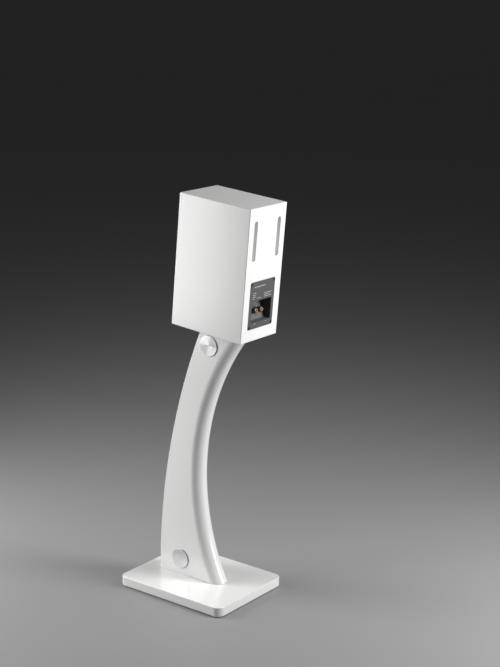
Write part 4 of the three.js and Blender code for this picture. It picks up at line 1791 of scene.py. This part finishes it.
    def posts(self, shop: Workshop) -> None:
        """Two binding posts: a threaded stem, a knurled cap and a coloured band on each.

        Args:
            shop: The workshop that makes the pieces.
        """
        threads = [(2.5 - (0.3 if step % 2 else 0.0), 2.6 + 0.5 * step) for step in range(20)]
        stem = [
            (0, -13), (2.2, -13), (2.5, -12.7), (2.5, 0.2), (5.3, 0.2), (5.5, 0.4), (5.5, 2.2),
            (5.3, 2.4), (2.5, 2.4), *threads, (2.5, 13.0), (2.0, 13.0), (2.0, 2.0), (0, 2.0),
        ]
        cap = [
            (2.9, 3.2), (5.0, 3.2), (5.2, 3.4), (5.2, 7.4), (3.9, 7.4), (3.9, 16.0), (3.7, 16.15),
            (2.5, 16.15), (2.2, 15.9), (2.2, 13.5), (2.9, 13.5),
        ]
        sleeve = [
            (4.0, 7.5), (6.0, 7.5), (6.2, 7.8), (6.2, 14.4), (6.1, 15.2), (5.6, 15.85), (5.0, 16.05),
            (4.2, 16.05), (4.0, 15.85),
        ]
        band = [
            (5.5, 4.2), (5.7, 4.0), (6.4, 4.0), (6.6, 4.2), (6.6, 7.0), (6.4, 7.2), (5.7, 7.2), (5.5, 7.0),
        ]
        rows = (
            ("red", 1, RED_GLOSS, Body.RED_TRAVEL, Body.RED_CAP),
            ("black", -1, BLACK_GLOSS, Body.BLACK_TRAVEL, Body.BLACK_CAP),
        )
        for colour, side, gloss, travel, turning in rows:
            place = self.post_place(side)
            node = f"post_stem_{colour}"
            shop.fit(Shape.turned(stem, SMALL_ROUND * 2), f"{node}_threaded", GOLD, place, [node])
            node = f"post_cap_{colour}"
            shop.fit(Shape.turned(cap, MEDIUM_ROUND), f"{node}_core", GOLD, place, [node], turning)
            grip = Shape.turned(sleeve, 60).fluted(30, 5.5, 0.35)
            shop.fit(grip, f"{node}_grip", SMOKED, place, body=turning, crease=50.0)
            node = f"post_band_{colour}"
            shop.fit(Shape.turned(band, MEDIUM_ROUND), f"{node}_rounded", gloss, place, [node], travel)


# ---------------------------------------------------------------- drivers
@dataclass(frozen=True)
class Woofer:
    """The bass driver, with its axis along Y and zero at the front of its flange."""

    front: float = -CABINET_HALF_DEPTH
    height: float = 92.0
    screw_circle: float = 45.0
    roll_radius: float = 36.9
    roll_reach: float = 3.6
    inner_seat: float = 32.6
    outer_seat: float = 42.6

    def build(self, shop: Workshop) -> None:
        """Makes every piece of the woofer.

        Args:
            shop: The workshop that makes the pieces.
        """
        place = shifted(CABINET, (0.0, self.front, self.height))
        self.basket(shop, place)
        self.cone(shop, place)
        self.suspension(shop, place)
        self.motor(shop, place)
        self.screws(shop, place)

    def screw_places(self) -> list[tuple[float, float]]:
        """Where the four screws go, as (x, z) from the axis."""
        reach = self.screw_circle * math.sqrt(0.5)
        return four_places(reach, -reach, reach)

    def basket(self, shop: Workshop, place: Matrix) -> None:
        """The cast frame with six windows.

        Args:
            shop: The workshop that makes the pieces.
            place: The woofer's frame, in metres.
        """
        body = Shape.turned([
            (43, 0), (48.4, 0), (48.8, 0.15), (49, 0.6), (49, 3), (42, 3), (40, 12), (31, 36), (31, 39.5),
            (15, 39.5), (15, 37), (29, 37), (29, 31), (37.5, 12), (38, 3), (41, 3), (41, 2), (43, 2),
        ])
        opening = ((-11, 13, 20), (11, 30, 60))
        windows = [Shape.block(*opening).soften(3.0, 3).turn("Y", 60.0 * i) for i in range(6)]
        holes = [bar(1.8, -CUT_EXTRA, 2 * CUT_EXTRA).move(x, 0, z) for x, z in self.screw_places()]
        body.minus(*windows, *holes)
        finish = Moulding("basket_coating", Slot.DARK_STEEL, STEEL_BLACK, place, 0.42, 1.2, 0.02)
        shop.fit(body, "woofer_basket_cast", finish, place, ["woofer_basket"])

    def cone(self, shop: Workshop, place: Matrix) -> None:
        """The pulp cone, its dust cap and the voice coil, which move together.

        Args:
            shop: The workshop that makes the pieces.
            place: The woofer's frame, in metres.
        """
        pulp = PulpCone("cone_pulp", Slot.CONE_FIBRE, (0.035, 0.035, 0.037), place)
        slope = [
            (33.5 - 19.9 * t, 3.1 + 16.9 * (t + 0.16 * t * (1 - t))) for t in (i / 14 for i in range(15))
        ]
        rim = [(33, 2.1), (34.0, 2.1), (34.2, 2.4), (34.2, 3.1)]
        cone = Shape.turned([*rim, *slope[1:], (12.9, 20), (12.9, 18.6)])
        shop.fit(cone, "woofer_cone_pressed", pulp, place, ["woofer_cone"], Body.WOOFER_CONE)
        outside = [(15.2 * x, 16.4 - 5.5 * y) for x, y in arc(1.0, 0, 90, 14)]
        inside = [(14.5 * x, 16.4 - 4.8 * y) for x, y in reversed(arc(1.0, 0, 90, 14))]
        outside[-1], inside[0] = (0, 10.9), (0, 11.6)
        cap = Shape.turned([*inside, *outside])
        sealed = Woven("dust_cap_cloth", Slot.SILK, SILK_BLACK, place, 0.4, 0.45, 0.02)
        shop.fit(cap, "woofer_dust_cap_domed", sealed, place, ["woofer_dust_cap"], Body.WOOFER_CONE)
        coil = Shape.turned([
            (12.3, 20.3), (13.1, 20.3), (13.1, 37.9), (13.4, 38.1), (13.4, 45.8), (13.2, 46), (12.3, 46),
        ])
        wire = WoundWire("voice_coil_wire", Slot.COPPER_WINDING, COPPER, place, 0.3)
        shop.fit(coil, "voice_coil_wound", wire, place, ["voice_coil"], Body.WOOFER_CONE)

    def suspension(self, shop: Workshop, place: Matrix) -> None:
        """The half-roll surround and the corrugated spider, which bend between frame and cone.

        Args:
            shop: The workshop that makes the pieces.
            place: The woofer's frame, in metres.
        """
        middle, reach = self.roll_radius, self.roll_reach
        half_turn = arc(1.0, 0, 180, 18)
        outside = [(middle + reach * x, 0.9 - 3.4 * y) for x, y in half_turn]
        inside = [(middle + (reach - 0.8) * x, 1.7 - 2.6 * y) for x, y in reversed(half_turn)]
        roll = [(self.outer_seat, 0.9), *outside, (self.inner_seat, 0.9), (self.inner_seat, 1.7), *inside]
        surround = Shape.turned([*roll, (self.outer_seat, 1.7)])
        self.bending(shop, surround, "woofer_surround_roll", BUTYL, place, "woofer_surround", (42.0, 33.4))
        start, width, waves = 13.5, 15.1, 2.5
        steps = [start + width * i / 60 for i in range(61)]
        ripple = [(r, 31.0 + 0.8 * math.sin((r - start) / width * waves * FULL_TURN)) for r in steps]
        spider = Shape.turned([*ripple, *((r, y + 0.6) for r, y in reversed(ripple))])
        cloth = Woven("spider_weave", Slot.SPIDER_CLOTH, (0.45, 0.27, 0.09), place, 0.45, 0.8)
        self.bending(shop, spider, "woofer_spider_pleated", cloth, place, "woofer_spider", (28.4, 14.0))

    def bending(self, shop: Workshop, shape: Shape, name: str, finish: Finish, place: Matrix,
                node: str, seats: tuple[float, float]) -> None:
        """Fits a ring that stays with the frame at its outer seat and with the cone at its inner one.

        Args:
            shop: The workshop.
            shape: The ring.
            name: The piece's name.
            finish: What it is finished with.
            place: The woofer's frame.
            node: The CAD node that it replaces.
            seats: The radii of the outer and the inner seat.
        """
        piece = shop.build(shape, name, finish, place)
        start = place @ Vector((0, 0, 0))
        end = place @ Vector((0, -MM, 0))
        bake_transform(piece, Body.STAND.value, Body.WOOFER_CONE.value, start=start, end=end)
        back = place.inverted()
        outer, inner = seats
        for vertex, weight in zip(piece.data.vertices, piece.data.attributes["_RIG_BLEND"].data):
            local = (back @ vertex.co) / MM
            share = (outer - math.hypot(local.x, local.z)) / (outer - inner)
            weight.value = min(1.0, max(0.0, share))
        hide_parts(node)
        log.info("%s: %d faces, bends with the cone", name, len(piece.data.polygons))

    def motor(self, shop: Workshop, place: Matrix) -> None:
        """The top plate, the ferrite ring and the yoke.

        Args:
            shop: The workshop that makes the pieces.
            place: The woofer's frame, in metres.
        """
        zinc = Metal("motor_zinc", Slot.ZINC_STEEL, ZINC_GREY, place, 0.36)
        plate = Shape.turned([(14.2, 39.8), (30, 39.8), (30, 43.8), (14.2, 43.8)]).soften(0.4, 2)
        shop.fit(plate, "woofer_top_plate_turned", zinc, place, ["woofer_top_plate"])
        ring = Shape.turned([(17, 44.1), (32, 44.1), (32, 56), (17, 56)]).soften(0.8, 1)
        shop.fit(ring, "woofer_magnet_ring", FERRITE, place, ["woofer_magnet"])
        yoke = Shape.turned([
            (0, 40), (11.4, 40), (11.8, 40.4), (11.8, 56.3), (29.6, 56.3), (30, 56.7), (30, 59.6),
            (29.4, 60.3), (12, 60.3), (11.4, 59.7), (0, 59.7),
        ])
        shop.fit(yoke, "woofer_yoke_turned", zinc, place, ["woofer_yoke"])

    def screws(self, shop: Workshop, place: Matrix) -> None:
        """Four pan-head screws with hexagon sockets.

        Args:
            shop: The workshop that makes the pieces.
            place: The woofer's frame, in metres.
        """
        for number, (x, z) in enumerate(self.screw_places(), 1):
            screw = socket_screw(3.2, 1.6, 1.5, 12.0, 1.3).turn("Y", 23.0 * number).move(x, -0.1, z)
            node = f"woofer_screw_{number}"
            shop.fit(screw, f"{node}_socket", BLACK_STEEL, place, [node])


@dataclass(frozen=True)
class Tweeter:
    """The soft-dome tweeter, with its axis along Y and zero at the front of its plate."""

    front: float = -CABINET_HALF_DEPTH
    height: float = 206.0
    radius: float = 36.0
    screw_reach: float = 21.9
    dome: float = 12.5

    def build(self, shop: Workshop) -> None:
        """Makes every piece of the tweeter.

        Args:
            shop: The workshop that makes the pieces.
        """
        place = shifted(CABINET, (0.0, self.front, self.height))
        horn = [(14.9 + 10.1 * t, 2.2 * (1 - t) ** 1.6) for t in (i / 12 for i in range(13))]
        edge = self.radius
        plate = Shape.turned([
            (14.9, 3), *horn, (edge - 0.6, 0), (edge - 0.15, 0.15), (edge, 0.6), (edge, 3),
        ])
        sink = [(0, 4), (1.2, 4), (1.2, 1.6), (2.6, 0.3), (2.6, -1), (0, -1)]
        places = four_places(self.screw_reach, -self.screw_reach, self.screw_reach)
        sinks = [Shape.turned(sink, SMALL_ROUND).move(x, 0, z) for x, z in places]
        black = (0.028, 0.028, 0.03)
        satin = Moulding("tweeter_moulding", Slot.BLACK_PLASTIC, black, place, 0.4, 0.7, 0.015)
        shop.fit(plate.minus(*sinks), "tweeter_plate_moulded", satin, place, ["tweeter_faceplate"])
        heads = Shape()
        outline = [(0, 0.35), (2.2, 0.35), (2.4, 0.55), (1.1, 1.7), (1.1, 2.9), (0, 2.9)]
        for x, z in places:
            head = Shape.turned(outline, SMALL_ROUND)
            heads.plus(head.minus(bar(1.0, -1, 1.0, 6)).move(x, 0, z))
        shop.fit(heads, "tweeter_screw_heads", BLACK_STEEL, place)
        self.moving(shop, place)
        motor = Shape.turned([
            (0, 3.5), (23.6, 3.5), (24, 3.9), (24, 9), (23.2, 9.4), (23.2, 19.5), (24, 19.9), (24, 22),
            (22, 24), (6, 24), (5, 23), (0, 23),
        ])
        shop.fit(motor, "tweeter_motor_turned", FERRITE, place, ["tweeter_magnet"])

    def moving(self, shop: Workshop, place: Matrix) -> None:
        """The silk dome with its narrow roll.

        Args:
            shop: The workshop that makes the pieces.
            place: The tweeter's frame, in metres.
        """
        outside = [(self.dome * x, 2.0 - 4.4 * y) for x, y in arc(1.0, 0, 90, 12)]
        outside[-1] = (0, -2.4)
        inside = [(r * 0.96, y + 0.45) for r, y in reversed(outside)]
        inside[0] = (0, -1.95)
        roll = [(13.4 + 0.8 * x, 2.3 - 0.7 * y) for x, y in reversed(arc(1.0, 0, 180, 8))]
        dome = Shape.turned([*inside, (12.2, 2.6), (14.4, 2.6), (14.4, 2.35), *reversed(roll), *outside])
        silk = Woven("dome_silk", Slot.SILK, SILK_BLACK, place, 0.3, 0.42, 0.012)
        shop.fit(dome, "tweeter_dome_silk", silk, place, ["tweeter_dome"], Body.TWEETER_DOME)


# ---------------------------------------------------------------- crossover and leads
@dataclass(frozen=True)
class Crossover:
    """The board behind the cup, what is soldered on it, and the leads to the drivers."""

    half_width: float = 40.0
    bottom: float = 34.0
    top: float = 132.0
    front: float = 56.0
    thickness: float = 1.8
    lead_radius: float = 1.8
    woofer_route: tuple[Point, ...] = (
        (-37, 55.4, 72), (-40, 44, 72), (-44, 15, 68), (-45, -20, 66), (-43, -48, 68), (-39, -66, 72),
    )
    tweeter_route: tuple[Point, ...] = (
        (34, 55.4, 126), (36, 44, 130), (34, 10, 150), (24, -30, 185), (12, -58, 204), (8, -72.8, 206),
    )

    def build(self, shop: Workshop) -> None:
        """Makes every piece of the crossover.

        Args:
            shop: The workshop that makes the pieces.
        """
        self.board(shop)
        self.inductors(shop)
        self.capacitors(shop)
        self.resistor(shop)
        self.leads(shop)

    def board(self, shop: Workshop) -> None:
        """The circuit board with the posts' holes.

        Args:
            shop: The workshop that makes the pieces.
        """
        back = self.front + self.thickness
        board = Shape.standing(self.half_width, self.bottom, self.top, 1.5, self.front, back)
        terminals = Terminals()
        holes = []
        for side in (-1, 1):
            local = CABINET.inverted() @ terminals.post_place(side)
            local.translation /= MM
            holes.append(bar(3.7, -40, 0).placed(local))
        shop.fit(board.minus(*holes), "crossover_board_tracked", BOARD_GREEN, CABINET, ["crossover_board"])

    def inductors(self, shop: Workshop) -> None:
        """Two air-cored coils with rounded layers of wire.

        Args:
            shop: The workshop that makes the pieces.
        """
        on_board = self.front - GAP
        rows = (
            ("woofer_inductor", -20, 110, 17, 7, 16, 0.9),
            ("tweeter_inductor", 22, 115, 11, 5, 11, 0.6),
        )
        for node, x, z, outer, inner, height, wire in rows:
            place = shifted(CABINET, (x, on_board - height, z))
            turns = int(height / (2 * wire))
            pitch = height / turns
            ridges = [
                (outer - 0.35 * wire * (1 + math.cos(FULL_TURN * i / 4)), pitch * i / 4)
                for i in range(4 * turns + 1)
            ]
            coil = Shape.turned([(inner, 0), *ridges, (inner, height)], MEDIUM_ROUND)
            finish = WoundWire(f"{node}_wire", Slot.COPPER_WINDING, COPPER, place, wire)
            shop.fit(coil, f"{node}_wound", finish, place, [node])

    def capacitors(self, shop: Workshop) -> None:
        """Two film capacitors with round shoulders.

        Args:
            shop: The workshop that makes the pieces.
        """
        on_board = self.front - GAP
        rows = (("capacitor_large", -18, 48, 9.0, 34.0), ("capacitor_small", 22, 46, 7.0, 26.0))
        for node, x, z, radius, length in rows:
            place = shifted(CABINET, (x, on_board - radius, z))
            half = length / 2
            shoulder = [(radius - 1.2 + 1.2 * a, half - 1.2 + 1.2 * b) for a, b in arc(1.0, 0, 90, 4)]
            foot = [(r, -y) for r, y in reversed(shoulder)]
            can = Shape.turned([(0, -half + 0.6), (radius - 2.2, -half + 0.6), *foot, *shoulder,
                                (radius - 2.2, half - 0.6), (0, half - 0.6)], MEDIUM_ROUND).turn("Z", -90.0)
            finish = FilmWrap(f"{node}_film", Slot.FILM_CAPACITOR, (0.68, 0.44, 0.08), place, half)
            shop.fit(can, f"{node}_wrapped", finish, place, [node])

    def resistor(self, shop: Workshop) -> None:
        """A cement resistor in its ceramic case.

        Args:
            shop: The workshop that makes the pieces.
        """
        on_board = self.front - GAP
        case = Shape.block((14, on_board - 9, 86), (36, on_board, 95)).soften(0.7, 2)
        pour = Shape.block((15.2, on_board - 10, 87.2), (34.8, on_board - 8.6, 93.8)).soften(0.3, 2)
        shop.fit(case.minus(pour), "resistor_cased", CERAMIC, CABINET, ["resistor"])

    def leads(self, shop: Workshop) -> None:
        """The two leads, each with a ferrule at either end.

        Args:
            shop: The workshop that makes the pieces.
        """
        ferrule = [(1.5, 0.1), (1.9, 0.3), (1.9, 6.0), (1.75, 6.4), (1.5, 6.4)]
        for node, route in (("woofer_lead", self.woofer_route), ("tweeter_lead", self.tweeter_route)):
            lead = Shape.tube(route, self.lead_radius - 0.1)
            for first, second in (route[:2], route[:-3:-1]):
                way = (Vector(second) - Vector(first)).normalized()
                turn = Vector((0, 1, 0)).rotation_difference(way).to_matrix().to_4x4()
                sleeve = Shape.turned(ferrule, SMALL_ROUND)
                lead.plus(sleeve.placed(Matrix.Translation(first) @ turn))
            shop.fit(lead, f"{node}_sheathed", SHEATH, CABINET, [node], crease=60.0)


# ---------------------------------------------------------------- studio
@dataclass(frozen=True)
class SoftBox:
    """One large soft light that faces the object."""

    name: str
    plan: tuple[float, float]
    distance: float
    height: float
    size: tuple[float, float]
    power: float

    def hang(self, target: Vector) -> None:
        """Makes the light and points it at the target.

        Args:
            target: The place that it faces, in metres.
        """
        light = bpy.data.lights.new(self.name, "AREA")
        light.shape = "RECTANGLE"
        light.size, light.size_y = self.size
        light.energy = self.power
        lamp = bpy.data.objects.new(self.name, light)
        across = Vector((*self.plan, 0.0)).normalized() * self.distance
        lamp.location = across + Vector((0.0, 0.0, self.height))
        lamp.rotation_euler = (lamp.location - target).to_track_quat("Z", "Y").to_euler()
        lamp.visible_camera = False
        bpy.context.scene.collection.objects.link(lamp)


@dataclass(frozen=True)
class Studio:
    """A plain pale floor, four soft boxes, a weak fill and the camera."""

    floor_half: float = 40.0
    floor_colour: Colour = (0.30, 0.30, 0.303)
    fill_colour: Colour = (0.5, 0.5, 0.52)
    fill: float = 0.08
    target: Point = (0.0, 0.0, 0.5)
    boxes: tuple[SoftBox, ...] = (
        SoftBox("side_strip", (0.423, -0.906), 1.15, 0.86, (0.45, 1.3), 9.5),
        SoftBox("side_box", (0.643, -0.766), 1.4, 0.86, (0.9, 1.3), 15.5),
        SoftBox("rear_box", (-0.423, 0.906), 1.3, 0.86, (0.5, 1.3), 19.0),
        SoftBox("top_box", (-0.5, 0.866), 1.0, 2.0, (1.0, 1.0), 13.5),
    )
    eye: Point = (2.61237, 2.09295, 1.50617)
    azimuth: float = 127.078
    elevation: float = 14.876
    roll: float = 0.824
    lens: float = 83.07

    def build(self, shop: Workshop) -> None:
        """Sets the whole studio.

        Args:
            shop: The workshop that makes the pieces.
        """
        self.floor(shop)
        for box in self.boxes:
            box.hang(Vector(self.target))
        world = bpy.data.worlds.new("studio_fill")
        world.use_nodes = True
        sky = world.node_tree.nodes["Background"]
        sky.inputs["Color"].default_value = (*self.fill_colour, 1.0)
        sky.inputs["Strength"].default_value = self.fill
        bpy.context.scene.world = world
        bpy.context.scene.view_settings.view_transform = "Standard"
        self.camera()

    def floor(self, shop: Workshop) -> None:
        """A wide flat floor.

        Args:
            shop: The workshop that makes the pieces.
        """
        ground = Shape()
        size = Matrix.Scale(self.floor_half / MM, 4)
        bmesh.ops.create_grid(ground.mesh, x_segments=4, y_segments=4, size=1.0, matrix=size)
        paint = StudioFloor("floor_paint", Slot.WHITE_LACQUER, self.floor_colour, Matrix())
        floor = shop.build(ground, "studio_floor", paint, Matrix.Translation((0, 0, -0.0002)))

    def camera(self) -> None:
        """The camera, level but for a slight roll."""
        turn, rise, tip = (math.radians(angle) for angle in (self.azimuth, self.elevation, self.roll))
        back = Vector((math.sin(turn) * math.cos(rise), -math.cos(turn) * math.cos(rise), math.sin(rise)))
        right = (-back).cross(Vector((0, 0, 1))).normalized()
        up = back.cross(right)
        axis_x = right * math.cos(tip) + up * math.sin(tip)
        axis_y = up * math.cos(tip) - right * math.sin(tip)
        lens = bpy.data.cameras.new("studio_camera")
        lens.lens = self.lens
        camera = bpy.data.objects.new("studio_camera", lens)
        facing = Matrix((axis_x, axis_y, back)).transposed().to_4x4()
        camera.matrix_world = Matrix.Translation(self.eye) @ facing
        bpy.context.scene.collection.objects.link(camera)
        bpy.context.scene.camera = camera


def corners(bounds: Sequence[Vector]) -> list[list[float]]:
    """A box's two corners as plain lists."""
    return [[float(value) for value in corner] for corner in bounds]


def main() -> None:
    """Builds the classes in order."""
    logging.basicConfig(level=logging.INFO, format="%(name)s: %(message)s")
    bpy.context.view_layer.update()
    shop = Workshop()
    for part in (Studio(), Stand(), Cabinet(), Terminals(), Woofer(), Tweeter(), Crossover()):
        log.info("building %s", type(part).__name__)
        part.build(shop)


if __name__ == "__main__":
    main()
